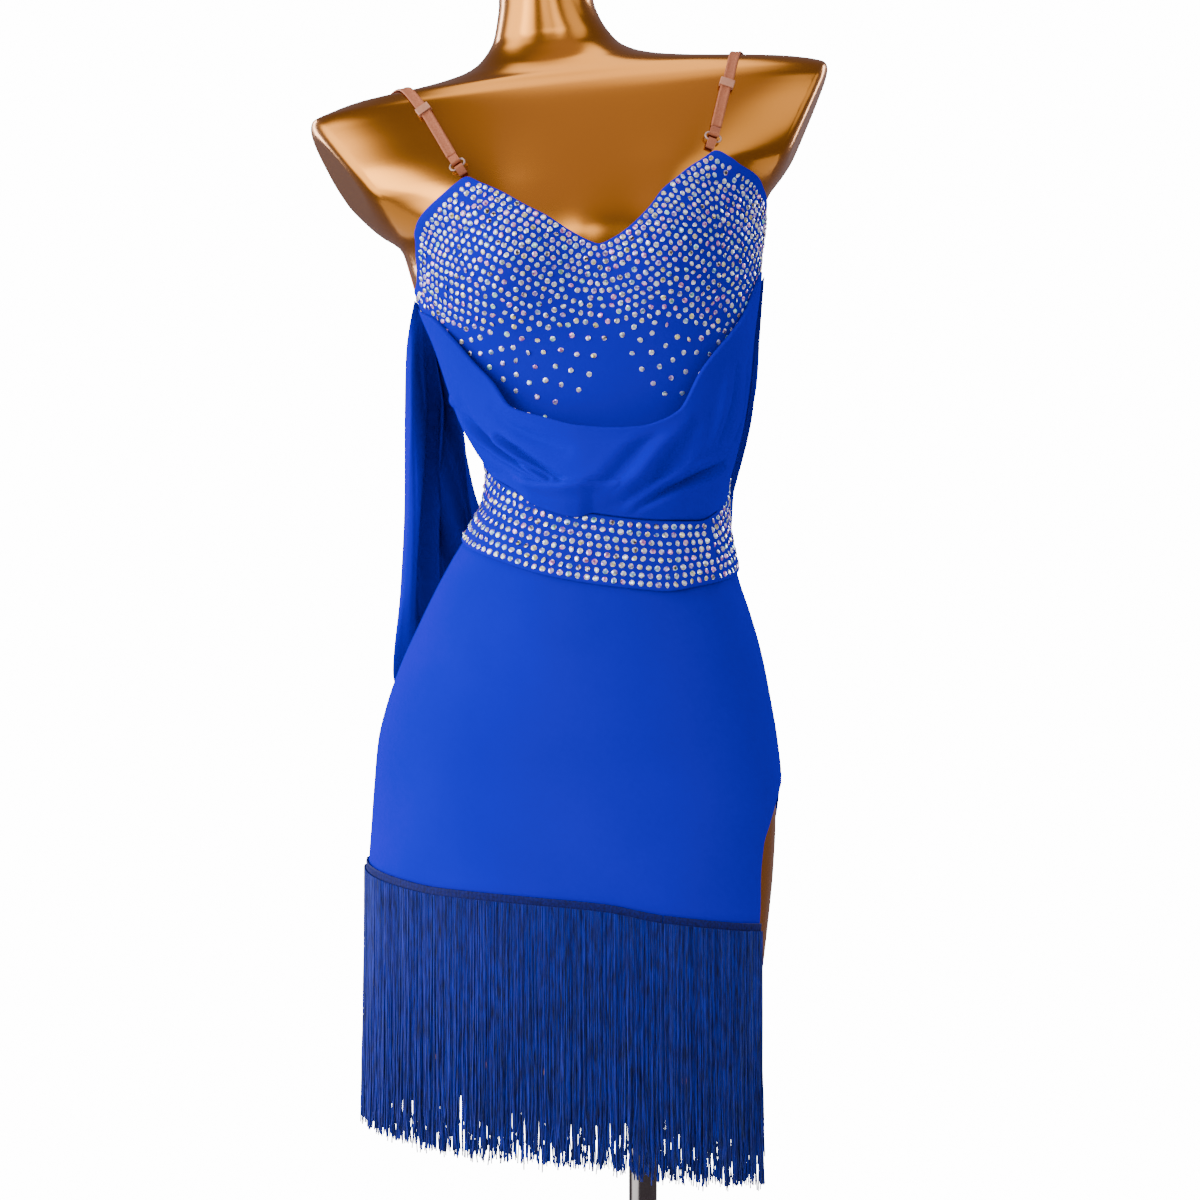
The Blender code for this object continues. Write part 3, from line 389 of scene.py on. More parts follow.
def mesh_object(name, points, faces, *surfaces, kinds=None, smooth=True):
    """An object from points in millimetres and faces of one size."""
    faces = np.asarray(faces, np.int32)
    mesh = bpy.data.meshes.new(name)
    mesh.vertices.add(points.size // 3)
    mesh.vertices.foreach_set("co", (points * MM).astype(np.float32).ravel())
    mesh.loops.add(faces.size)
    mesh.loops.foreach_set("vertex_index", faces.ravel())
    mesh.polygons.add(len(faces))
    starts = np.arange(0, faces.size, faces.shape[1], dtype=np.int32)
    mesh.polygons.foreach_set("loop_start", starts)
    mesh.polygons.foreach_set("use_smooth", np.full(len(faces), smooth))
    for surface in surfaces:
        mesh.materials.append(surface)
    if kinds is not None:
        mesh.polygons.foreach_set("material_index", kinds.astype(np.int32).ravel())
    mesh.update(calc_edges=True)
    mesh.validate()
    return add_object(name, mesh)


def settle(piece, slot, *nodes):
    """The piece rides on the part's one body and stands for these solids."""
    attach(piece, "root")
    if nodes:
        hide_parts(*nodes)
    return piece


def unit(vectors):
    return vectors / np.maximum(np.linalg.norm(vectors, axis=-1, keepdims=True), 1e-9)


def eased(low, high, t):
    t = np.clip((t - low) / (high - low), 0, 1)
    return t * t * (3 - 2 * t)


def outward(points):
    """Normals of a grid whose columns run with the turn and whose rows run upward."""
    return unit(np.cross(np.gradient(points, axis=1), np.gradient(points, axis=0)))


def grid_quads(rows, columns, start=0):
    low = (np.arange(rows - 1)[:, None] * columns + np.arange(columns - 1)).ravel() + start
    return np.stack([low, low + 1, low + columns + 1, low + columns], axis=1)


def ring_quads(rings, sides):
    low, here = np.arange(rings - 1)[:, None] * sides, np.arange(sides)
    after = np.roll(here, -1)
    quads = [low + here, low + after, low + sides + after, low + sides + here]
    return np.stack(quads, axis=-1).reshape(-1, 4)


# How far a sheet's round edge stands out, as a share of its wall.
RIM_BULGE = 0.42


def shell(name, points, surface, wall, slot, node):
    """A sheet of cloth from a grid: two faces and a soft round edge between them."""
    rows, columns = points.shape[:2]
    count = rows * columns
    index = np.arange(count).reshape(rows, columns)
    rim = np.concatenate([index[0, :-1], index[:-1, -1], index[-1, :0:-1], index[:0:-1, 0]])
    inner, outer = points.reshape(-1, 3), (points + outward(points) * wall).reshape(-1, 3)
    core = (inner + outer) / 2
    place = np.stack(np.unravel_index(rim, (rows, columns)))
    within = index[tuple(np.clip(place, 1, [[rows - 2], [columns - 2]]))]
    middle = core[rim] + unit(core[rim] - core[within]) * wall * RIM_BULGE
    mid = 2 * count + np.arange(len(rim))
    after, mid_after = np.roll(rim, -1), np.roll(mid, -1)
    faces = np.concatenate(
        [
            grid_quads(rows, columns, count),
            grid_quads(rows, columns)[:, ::-1],
            np.stack([rim, after, mid_after, mid], axis=1),
            np.stack([mid, mid_after, count + after, count + rim], axis=1),
        ]
    )
    made = mesh_object(name, np.concatenate([inner, outer, middle]), faces, surface)
    return settle(made, slot, node)


@contextmanager
def closed_mesh(made):
    """An object's mesh with its open ends filled, to edit before it is written back."""
    shape = bmesh.new()
    shape.from_mesh(made.data)
    bmesh.ops.holes_fill(shape, edges=[edge for edge in shape.edges if edge.is_boundary])
    yield shape
    bmesh.ops.recalc_face_normals(shape, faces=shape.faces)
    shape.to_mesh(made.data)
    shape.free()


# ---------------------------------------------------------------- form and stand

FORM_SIDES = 160
# Heights of the form's rings are closest where its shoulders turn into the neck.
FORM_HEIGHTS = np.concatenate(
    [
        [549, 550, 552, 554],
        np.arange(556, 1200, 11.0),
        np.arange(1200, 1360, 5.0),
        np.arange(1360, 1440, 1.6),
        np.arange(1440, 1484, 5.0),
        [1485, 1487, 1489, 1490.5, 1491.5, 1492],
    ]
)
# A face with at least this many corners is one of the form's two filled ends.
SMOOTH_CORNERS = 60
RIM_ROUND, RIM_STEPS, END_DEPTH, END_REACH = 8.5, 15, 45, 30

POLE_RADIUS, POLE_INSET, BORE_CLEAR = 12, 2, 0.15
BASE_RADIUS, BASE_HEIGHT = 180, 8
HUB_RADIUS, HUB_HEIGHT, HUB_LIP, HUB_CHAMFER, HUB_RISE = 26, 30, 6, 2, 8
HUB_COLLAR, HUB_TOP, HUB_TOP_DROP = 6, 4, 3
FLANGE_RADIUS, FLANGE_HEIGHT, FLANGE_NECK, FLANGE_EDGE, FLANGE_GAP = 36, 12, 5, 4, 1


def flatten_end(shape, cut):
    """One shoulder end, pressed flat against its plane with a soft rim."""
    lean = math.radians(cut.lean)
    side = math.copysign(math.cos(lean), cut.x)
    away = Vector((side, -abs(side) * cut.ahead, -math.sin(lean))).normalized()
    start = Vector((cut.x, 0, cut.z)) * MM
    reach, depth = RIM_ROUND * MM, END_DEPTH * MM

    def ends():
        return [vert for vert in shape.verts if vert.co.z > CUT_FLOOR * MM]

    for step in np.linspace(-reach, reach, RIM_STEPS):
        near = [vert for vert in ends() if (vert.co - start).dot(away) > -END_REACH * MM]
        edges = {edge for vert in near for edge in vert.link_edges}
        faces = {face for vert in near for face in vert.link_faces}
        bmesh.ops.bisect_plane(
            shape,
            geom=near + list(edges) + list(faces),
            dist=1e-7,
            plane_co=start + away * step,
            plane_no=away,
        )
    rim = [vert.co for vert in ends() if abs((vert.co - start).dot(away)) < 1e-6]
    inner = sum(rim, Vector()) / len(rim) - away * depth
    for vert in ends():
        beyond = (vert.co - start).dot(away)
        if beyond > -reach:
            kept = 0.0 if beyond > reach else beyond - (beyond + reach) ** 2 / (4 * reach)
            vert.co = inner + (vert.co - inner) * (depth + kept) / (depth + beyond)


def dress_form(surface):
    """The gold torso, with its shoulder ends cut flat and their rims rounded."""
    heights = np.unique(FORM_HEIGHTS)
    turns = np.arange(FORM_SIDES) * 360 / FORM_SIDES
    points = BODY.at(turns, heights[:, None], -FORM_EASE)
    made = mesh_object("gold_dress_form", points, ring_quads(len(heights), FORM_SIDES), surface)
    with closed_mesh(made) as shape:
        for cut in SHOULDER_CUTS:
            flatten_end(shape, cut)
        for face in shape.faces:
            face.smooth = len(face.verts) < SMOOTH_CORNERS
    settle(made, "gold_form", "form_body")


def rounded(corners, radius, steps=4):
    """A closed outline with each corner rounded off."""
    made = []
    corners = [np.array(corner, float) for corner in corners]
    for i, corner in enumerate(corners):
        back, ahead = corners[i - 1] - corner, corners[(i + 1) % len(corners)] - corner
        reach = min(radius, np.linalg.norm(back) * 0.45, np.linalg.norm(ahead) * 0.45)
        start, end = corner + unit(back) * reach, corner + unit(ahead) * reach
        for t in np.linspace(0, 1, steps):
            made.append((1 - t) ** 2 * start + 2 * t * (1 - t) * corner + t * t * end)
    return made


def lathe(name, node, slot, surface, corners, radius, sides=96):
    """A piece turned round the pole's axis from an outline with rounded corners."""
    across, height = np.array(rounded(corners, radius)).T[..., None]
    angles = np.arange(sides) * 2 * np.pi / sides
    points = np.stack([across * np.cos(angles), across * np.sin(angles), height + 0 * angles], -1)
    quads = ring_quads(len(points) + 1, sides) % (len(points) * sides)
    made = mesh_object(name, points, quads, surface)
    made.modifiers.new("crisp_edges", "EDGE_SPLIT").split_angle = math.radians(40)
    settle(made, slot, node)


def stand(chrome, steel):
    """Base plate, hub, pole and flange, as outlines of distance from the axis and height."""
    bore, foot, base, flange = POLE_RADIUS + BORE_CLEAR, BASE_HEIGHT + GAP, 0.5, FLANGE_RADIUS
    low, high, tilt = (BODY.columns[name](FIGURE[0].height) for name in ("low_x", "high_x", "tilt"))
    top = FIGURE[0].height - tilt * (low + high) / 2 - POLE_INSET
    corners = [(base, 0), (BASE_RADIUS, 0), (BASE_RADIUS, BASE_HEIGHT), (base, BASE_HEIGHT)]
    lathe("round_base", "stand_base", "base_steel", steel, corners, 1.6, 160)
    corners = [
        (bore, foot),
        (HUB_RADIUS + HUB_LIP, foot),
        (HUB_RADIUS + HUB_LIP, foot + HUB_CHAMFER),
        (HUB_RADIUS, foot + HUB_RISE),
        (bore + HUB_COLLAR, foot + HUB_HEIGHT - HUB_TOP_DROP),
        (bore + HUB_TOP, foot + HUB_HEIGHT),
        (bore, foot + HUB_HEIGHT),
    ]
    lathe("base_hub", "stand_hub", "chrome", chrome, corners, 2.0)
    corners = [(0.3, foot), (POLE_RADIUS, foot), (POLE_RADIUS, top), (0.3, top)]
    lathe("pole", "stand_pole", "chrome", chrome, corners, 0.8)
    low, high = top - FLANGE_HEIGHT, top - FLANGE_GAP
    corners = [(bore, low), (bore + FLANGE_NECK, low), (flange, high - FLANGE_EDGE)]
    corners += [(flange, high), (bore, high)]
    lathe("pole_flange", "stand_flange", "chrome", chrome, corners, 1.2)


# ---------------------------------------------------------------- bodice, skirt and belt

WALL, BELT_WALL, SEAT = 1.0, 1.1, 0.1
BODICE_GRID, BACK_GRID, SKIRT_GRID, BELT_GRID = (76, 220), (44, 140), (66, 86), (20, 440)
# A height that every line of the skirt reaches, where the search for its turn starts.
SKIRT_MIDDLE = 900


def bodice_front_points(rows, columns, out):
    neck = column_curves(NECKLINE)
    foot_turns = np.linspace(-SIDE, SIDE, columns)
    share = np.linspace(0, 1, rows)[:, None]
    low, high = waist_seam(foot_turns) + SEAM, neck["height"](foot_turns)
    turns = foot_turns + share * (neck["turn"](foot_turns) - foot_turns)
    heights = low + share * (high - low)
    cup = np.exp(-(((heights - CUP_HEIGHT) / CUP_RISE) ** 2)) * np.cos(np.radians(turns)) ** 2
    return BODY.at(turns, heights, out + CUP_EASE * cup)


def bodice_back_points():
    rows, columns = BACK_GRID
    turns, share = np.linspace(180 - SIDE, 180 + SIDE, columns), np.linspace(0, 1, rows)
    low = waist_seam(turns) + SEAM
    return BODY.at(turns, low + share[:, None] * (BACK_NECK(turns) - low), layer(0) + SEAT)


def skirt_points(first, last):
    """A panel between two edges, each given as its turn at a height."""
    rows, columns = SKIRT_GRID
    share, points = np.linspace(0, 1, columns), []
    for up in np.linspace(0, 1, rows):
        turn = first(SKIRT_MIDDLE) + share * (last(SKIRT_MIDDLE) - first(SKIRT_MIDDLE))
        for _ in range(6):
            height = HEM(turn) + up * (waist_seam(turn) - SEAM - HEM(turn))
            turn = first(height) + share * (last(height) - first(height))
        beside = (turn - SLIT_LIFT_TURN) / SLIT_LIFT_REACH
        above = (height - SLIT_LIFT_HEIGHT) / SLIT_LIFT_RISE
        lift = SLIT_LIFT * np.exp(-(beside**2) - above**2)
        points.append(DRESS.at(turn, height, layer(0) + SEAT + lift))
    return np.array(points)


def belt_points(turns, share, out):
    around = np.where(turns < -90, turns + 360, turns)
    over = np.clip((turns - BELT_CLOSURE) / BELT_OVERLAP + BELT_RAMP, 0, 1)
    out = layer(1) + BELT_EASE + out + (3 - 2 * over) * over**2 * LAYER
    low, high = BELT_FOOT(around), BELT_TOP(around)
    return DRESS.at(turns, low + share * (high - low), out)


def taut_cloth(surface):
    """Bodice, skirt and belt, by the name of the solid that each replaces."""
    slit, (rows, columns) = column_curves(SLIT), BELT_GRID
    turns = np.linspace(BELT_CLOSURE - BELT_OVERLAP - 360, BELT_CLOSURE, columns)
    right, back_right = (lambda height: 0 * height - SIDE), (lambda height: 0 * height + 180 + SIDE)
    pieces = {
        "bodice_front": (bodice_front_points(*BODICE_GRID, layer(0) + SEAT), WALL),
        "bodice_back": (bodice_back_points(), WALL),
        "skirt_front": (skirt_points(right, slit["front_turn"]), WALL),
        "skirt_back": (skirt_points(slit["back_turn"], back_right), WALL),
        "belt": (belt_points(turns, np.linspace(0, 1, rows)[:, None], TRACE), BELT_WALL),
    }
    return {
        node: shell(node + "_cloth", points, surface, wall, "stretch_cloth", node)
        for node, (points, wall) in pieces.items()
    }


# ---------------------------------------------------------------- rhinestones

STONE_SIDES = 8
# Radius and height of a stone's rings: back, girdle, crown's foot and table.
STONE_RINGS = [(1.0, 0.0), (1.0, 0.3), (0.82, 0.52), (0.48, 0.78)]
STONE_TILT, STONE_SIZES, STONE_GAP = 0.2, (0.93, 1.05), 0.02
# The share of a stone's facets that surely keep its own tint. The others are mixed.
OWN_TINT = 0.5
STRIPES, BELT_STONE, BELT_PITCH, BELT_MARGIN = 8, 2.5, 7.5, 4.2
# How many degrees the rows of the belt's stones stay from its closure, on either side.
START_MARGIN, END_MARGIN = 1.5, 1.2


def stone_shape():
    """A flat-backed stone of radius 1: its points, their heights and its triangles."""
    radius, height = np.repeat(STONE_RINGS, STONE_SIDES, axis=0).T
    level, side = np.divmod(np.arange(len(radius)), STONE_SIDES)
    angle = side * 2 * np.pi / STONE_SIDES + np.maximum(0, level - 1) * np.pi / STONE_SIDES
    flat = np.stack([np.cos(angle) * radius, np.sin(angle) * radius], axis=1)
    walls = ring_quads(len(STONE_RINGS), STONE_SIDES)[:, [0, 1, 3, 1, 2, 3]].reshape(-1, 3)
    last = np.arange(len(radius) - STONE_SIDES, len(radius))
    table_top = np.stack([last, np.roll(last, -1), 0 * last + len(radius)], axis=1)
    flat, heights = np.append(flat, [[0, 0]], axis=0), np.append(height, height[-1])
    return flat, heights, np.concatenate([walls, table_top])


def stones(name, centres, away, radius, surfaces):
    """Many stones as one mesh, each turned and tilted a little, with mixed tints."""
    flat, heights, faces = stone_shape()
    shares = [row.share for row in CRYSTALS]
    count = len(centres)
    away = unit(away + dice.normal(0, STONE_TILT, (count, 3)))
    spin = dice.normal(0, 1, (count, 3))
    along = unit(spin - away * (spin * away).sum(1, keepdims=True))
    across = np.cross(away, along)
    size = (radius * dice.uniform(*STONE_SIZES, count))[:, None, None]
    tall = heights[None, :, None] * size / radius
    spread = flat[None, :, :1] * along[:, None] + flat[None, :, 1:] * across[:, None]
    points = centres[:, None] + size * spread + tall * away[:, None]
    every = faces[None] + (np.arange(count) * len(flat))[:, None, None]
    own = dice.choice(len(surfaces), (count, 1), p=shares)
    facet = dice.choice(len(surfaces), (count, len(faces) // 2), p=shares)
    kinds = np.repeat(np.where(dice.random(facet.shape) < OWN_TINT, own, facet), 2, axis=1)
    kinds[:, -STONE_SIDES:] = own
    every = every.reshape(-1, 3)
    made = mesh_object(name, points, every, *surfaces, kinds=kinds, smooth=False)
    settle(made, "clear_plastic")


def run_along(line):
    return np.concatenate([[0], np.cumsum(np.linalg.norm(np.diff(line, axis=0), axis=1))])


def between_rows(at, places, rows):
    return np.stack([np.interp(at, places, rows[:, k]) for k in range(rows.shape[1])], axis=1)


def spaced(line, pitch, start):
    """Places every pitch along a line of points, from start on, and their shares."""
    run = run_along(line)
    at = np.arange(start, run[-1] - pitch * 0.3, pitch)
    return between_rows(at, run, line), np.interp(at, run, np.linspace(0, 1, len(line)))


def belt_stones(surfaces):
    centres, away = [], []
    turns = np.linspace(BELT_CLOSURE - 360 + START_MARGIN, BELT_CLOSURE - END_MARGIN, 1500)
    around = np.where(turns < -90, turns + 360, turns)
    tall = BELT_TOP(around) - BELT_FOOT(around)
    for row in range(STRIPES):
        share = (BELT_MARGIN + row * (tall - 2 * BELT_MARGIN) / (STRIPES - 1)) / tall
        low, high = (belt_points(turns, share, TRACE + BELT_WALL + d) for d in (STONE_GAP, 1.0))
        found, along = spaced(low, BELT_PITCH, (row % 2) * BELT_PITCH / 2)
        centres.append(found)
        away.append(unit(between_rows(along, np.linspace(0, 1, len(turns)), high) - found))
    centres, away = np.concatenate(centres), np.concatenate(away)
    stones("belt_rhinestones", centres, away, BELT_STONE, surfaces)


# Heights at which the bodice's close stones end and at which the scattered ones end.
SPREADS = table(
    "turn close last",
    (-90, 1206, 1180), (-65, 1181, 1150), (-50, 1169, 1132), (-43, 1166, 1112),
    (-34, 1170, 1098), (-25, 1171, 1097), (-16, 1171, 1106), (-8, 1172, 1117),
    (-1, 1173, 1144), (6.5, 1174, 1170), (11, 1174, 1154), (21, 1174, 1124),
    (28, 1176, 1114), (35, 1175, 1118), (45, 1166, 1140), (56, 1162, 1150),
    (66, 1168, 1158), (90, 1174, 1160),
)
BODICE_STONE, STONE_PITCH, LOW_PITCH, PITCH_FALL = 2.35, 6.35, 8.1, 80
# The pitch grows downward most in the middle, and by this share of it beyond that.
MIDDLE_REACH, SIDE_FALL = 52, 0.3
SCATTER_PITCH, SCATTER_GROWTH, SCATTER_TRIES = 10.0, 5.5, 16000
# Shares of the pitch: how near two stones may start, and how far apart two rows are.
ROW_SHARE, SCATTER_SHARE, ROW_STEP = 0.8, 0.86, 0.88
SETTLING, PUSH_REACH, PUSH = 45, 1.12, 0.28
# Stones stay this far from the neckline, which lies between two peaks, and the armholes.
PEAK_TURNS, NECK_MARGIN, ARM_MARGIN = (-26.0, 33.5), 2.9, 8.0
# Whole rows of stones follow the neckline down to this distance from it.
ROWS_END = 150
PLACES = (260, 620)


def neighbours(points):
    tree = KDTree(len(points))
    for i, point in enumerate(points):
        tree.insert(point, i)
    tree.balance()
    return tree


def edge_room(points, foot):
    """How far each point is inside the margins along the bodice's upper edge."""
    rows, columns = PLACES
    within = (foot > PEAK_TURNS[0]) & (foot < PEAK_TURNS[1])
    room = np.full(PLACES, 1e9)
    for keep, clear in ((within, NECK_MARGIN), (~within, ARM_MARGIN)):
        border = neighbours(points[0][keep])
        found = np.array([border.find(point)[2] for point in points[::4].reshape(-1, 3)])
        at = np.arange(rows)
        room = np.minimum(room, between_rows(at, at[::4], found.reshape(-1, columns)) - clear)
    return room


def stone_pitch(height, foot):
    """How far apart the stones are at each place, and how far on it is to the last ones."""
    spread = column_curves(SPREADS)
    close, last = spread["close"](foot), spread["last"](foot)
    middle = np.exp(-((foot / MIDDLE_REACH) ** 4))
    low = np.clip((close + PITCH_FALL - height) / PITCH_FALL, 0, 1)
    low = low * (SIDE_FALL + (1 - SIDE_FALL) * middle)
    pitch = STONE_PITCH + (LOW_PITCH - STONE_PITCH) * low
    loose = (close - height) / (close - last)
    return np.where(loose > 0, SCATTER_PITCH + SCATTER_GROWTH * loose, pitch), loose


def spread_apart(places, pitches, found, fixed, nearest):
    """Stones after the fixed ones push each other apart until they lie evenly."""
    for _ in range(SETTLING):
        here, want = places[found], pitches[found]
        apart = here[:, None] - here[None]
        far = np.linalg.norm(apart, axis=2) + 1e-6
        want = (want[:, None] + want[None]) / 2 * PUSH_REACH
        push = np.clip(want - far, 0, None) * (far > 1e-3) / far * PUSH
        moved = here + (apart * push[..., None]).sum(1)
        found[fixed:] = [nearest.find(point)[1] for point in moved[fixed:]]
    return found


def stone_places():
    """Even places for the bodice's stones: close at its top, wider and scattered lower."""
    out = layer(0) + SEAT + WALL + STONE_GAP
    points = bodice_front_points(*PLACES, out)[::-1]
    lifted = bodice_front_points(*PLACES, out + 1.0)[::-1]
    foot = np.linspace(-SIDE, SIDE, PLACES[1])
    room = edge_room(points, foot)
    pitch, loose = stone_pitch(points[..., 2], foot)
    cells = np.argwhere((room > 0) & (loose < 1))
    places, pitches = points[tuple(cells.T)], pitch[tuple(cells.T)]
    nearest, found = neighbours(places), []

    def add(i, share):
        apart = np.linalg.norm(places[found] - places[i], axis=1) if found else [1e9]
        if np.min(apart) > share * pitches[i]:
            found.append(i)

    fixed, level, row = 0, 0.3, 0
    while level < ROWS_END:
        line = points[np.abs(room - level).argmin(axis=0), np.arange(PLACES[1])]
        step = STONE_PITCH + (LOW_PITCH - STONE_PITCH) * min(level / PITCH_FALL, 1)
        for point in spaced(line, step, 1 + 0.5 * step * (row % 2))[0]:
            add(nearest.find(point)[1], ROW_SHARE)
        fixed = fixed or len(found)
        level += ROW_STEP * step
        row += 1
    for i in dice.integers(0, len(cells), SCATTER_TRIES):
        add(i, SCATTER_SHARE)
    found = spread_apart(places, pitches, found, fixed, nearest)
    return places[found], unit(lifted[tuple(cells[found].T)] - places[found])


def bodice_stones(surfaces):
    stones("bodice_rhinestones", *stone_places(), BODICE_STONE, surfaces)


# ---------------------------------------------------------------- drapes

# Upper and lower edge of the front drape, with how far each stands off the figure. The
# lower edge's heights are over the belt's top.
EDGE = "turn height out"
COWL_EDGE = table(
    EDGE,
    (-89.6, 1206, 2.4), (-67, 1193, 5), (-55, 1169, 9), (-48, 1150, 12), (-41, 1133, 16),
    (-34, 1109, 22), (-20, 1098, 26), (-9, 1091.5, 28), (3, 1089.5, 28), (14, 1091, 27),
    (22, 1096, 25), (29, 1104, 22), (38, 1134, 16), (45, 1149, 12), (54, 1164, 9),
    (64, 1181, 6.5), (73, 1203, 4.5), (80, 1212, 3), (89.6, 1215, 2.4),
)
COWL_FOOT = table(
    EDGE,
    (-89.6, 1.6, 2.4), (-70, 1.8, 4.6), (-54, 2.0, 6.5), (-45, 1.0, 7.2), (-33, -6.0, 7.5),
    (-20, -7.0, 7.5), (-12, -5.0, 7.0), (-5, 1.6, 5.4), (6, 2.0, 4.0), (40, 2.0, 3.6),
    (70, 2.0, 3.0), (89.6, 2.0, 2.4),
)
# Creases of the front drape: three points along each, its depth and its half width. The
# fine creases and ridges are crisper.
CREASE = "turn_a height_a turn_b height_b turn_c height_c depth width"
COWL_CREASES = table(
    CREASE,
    (-63, 1111, -43.5, 1061, -22, 1038, 5.5, 8),
    (-41.5, 1105, -31, 1087, -16, 1070, 4.0, 7),
    (70, 1072, 32, 1048, -2, 1014, 6.0, 8),
    (34.5, 1079, 27.5, 1059, 16, 1037, 4.5, 7),
    (13.5, 1078, 4, 1058, -7, 1037, 4.0, 7),
    (69, 1138, 73, 1100, 58, 1076, 4.5, 7),
)
FINE_CREASES = table(
    CREASE,
    (-72, 1112, -48.5, 1076, -24, 1043, 9.5, 4),
    (-43, 1084, -33.5, 1067, -19, 1041, 9, 3.6),
    (13.5, 1034, 24, 1060, 36, 1092, 5.5, 5),
    (-3, 1036, 6, 1054, 18, 1081, 4.5, 6),
    (12, 1017, 31, 1043, 61, 1064, 7, 3.4),
    (58, 1137, 57, 1108, 50, 1082, 4, 3.5),
)
FINE_RIDGES = table(
    CREASE,
    (-75, 1119, -52, 1075, -25, 1035, 6.5, 4.5),
    (-46, 1082, -37, 1060, -21, 1031, 6.5, 4),
    (6, 1033, 17, 1064, 30, 1096, 4, 7),
    (-13, 1036, 2, 1055, 13.5, 1086, 4, 8),
    (-40, 1039, -19, 1034, 3, 1041, 6, 6),
    (10, 1022, 29.5, 1050, 63, 1073, 5.5, 4.5),
    (52, 1132, 49, 1105, 45, 1078, 3, 5),
)
MM_PER_DEGREE, CREASE_STEPS, CREASE_FADE = 2.0, 90, 0.12
CREASE_PULL, FINE_PULL, CREASE_EDGE = 1.2, 1.12, 6
# The drape keeps to its upper edge's stand-off and falls in to its lower edge's by a power
# of how far down it is, with a belly between. It stays clear of the bodice.
COWL_GRID, COWL_WALL, COWL_FALL, COWL_CLEAR = (126, 320), 0.55, 2.2, 2.25
COWL_BELLY, LOW_BELLY, LOW_POWER = 4, 7, 2.1
# Its upper edge rolls over inward by these angles, and its turned-in edge ends below them.
ROLL, ROLL_CLEAR, ROLL_SHARE, ROLL_ANGLES = 1.7, 2.0, 0.9, [25, 50, 75, 100, 125, 150, 175]
TURNED_IN, TURNED_STEPS = 1.5, (2, 4, 6, 8)
# The foot hangs lower near the dress's left side, over the belt's stones there.
FOOT_TURN, FOOT_WIDTH, FOOT_DROP, FOOT_OUT = 78, 11, 12, 2.2


def bend(start, middle, end, t):
    """A curve from start to end that passes through middle halfway."""
    pull = 2 * middle - (start + end) / 2
    return (1 - t) ** 2 * start + 2 * t * (1 - t) * pull + t * t * end


def crease_depth(turn, height, creases):
    """How far the creases sink the cloth at a turn and a height."""
    sunk = np.zeros(np.broadcast(turn, height).shape)
    for crease in creases:
        nearest, fade = np.full(sunk.shape, 1e9), np.zeros(sunk.shape)
        for t in np.linspace(0, 1, CREASE_STEPS):
            x = (turn - bend(crease.turn_a, crease.turn_b, crease.turn_c, t)) * MM_PER_DEGREE
            z = height - bend(crease.height_a, crease.height_b, crease.height_c, t)
            distance = x * x + z * z
            swell = math.sin(math.pi * (CREASE_FADE + (1 - 2 * CREASE_FADE) * t))
            fade = np.where(distance < nearest, swell, fade)
            nearest = np.minimum(distance, nearest)
        sunk = np.maximum(sunk, crease.depth * fade * np.exp(-nearest / crease.width**2))
    return sunk


def front_drape(surface):
    upper, foot = column_curves(COWL_EDGE), column_curves(COWL_FOOT)
    rows, columns = COWL_GRID
    turn = np.linspace(COWL_EDGE[0].turn, COWL_EDGE[-1].turn, columns)
    down = np.linspace(1, 0, rows)[:, None]
    top = upper["height"](turn) - ROLL
    near_end = np.exp(-(((turn - FOOT_TURN) / FOOT_WIDTH) ** 2))
    bottom = BELT_TOP(turn) + foot["height"](turn) - FOOT_DROP * near_end
    height = top + down * (bottom - top)
    share = down**COWL_FALL
    out = upper["out"](turn) * (1 - share) + foot["out"](turn) * share
    belly = COWL_BELLY * np.sin(np.pi * down) + LOW_BELLY * np.sin(np.pi * down**LOW_POWER)
    belly = belly * np.cos(np.radians(turn)) ** 0.5
    loose = np.clip(CREASE_EDGE * np.minimum(down, 1 - down), 0, 1)
    sunk = CREASE_PULL * crease_depth(turn, height, COWL_CREASES)
    fine = crease_depth(turn, height, FINE_CREASES) - crease_depth(turn, height, FINE_RIDGES)
    sunk += FINE_PULL * fine
    out = np.maximum(out + belly - sunk * loose, COWL_CLEAR + FOOT_OUT * near_end * down)
    points = BODY.at(turn, height, out)
    away, up = outward(points)[-1], unit(points[-1] - points[-3])
    roll = np.minimum(ROLL, (out[-1] - ROLL_CLEAR) / 2 * ROLL_SHARE)[:, None]
    centre = points[-1] - away * roll
    rolled = [
        centre + away * roll * math.cos(angle) + up * roll * math.sin(angle)
        for angle in np.radians(ROLL_ANGLES)
    ]
    inward = [
        centre - away * roll - up * step * np.minimum(roll, TURNED_IN) for step in TURNED_STEPS
    ]
    points = np.concatenate([points, rolled, inward])
    return shell("front_cowl_drape", points, surface, COWL_WALL, "drape_cloth", "front_drape")


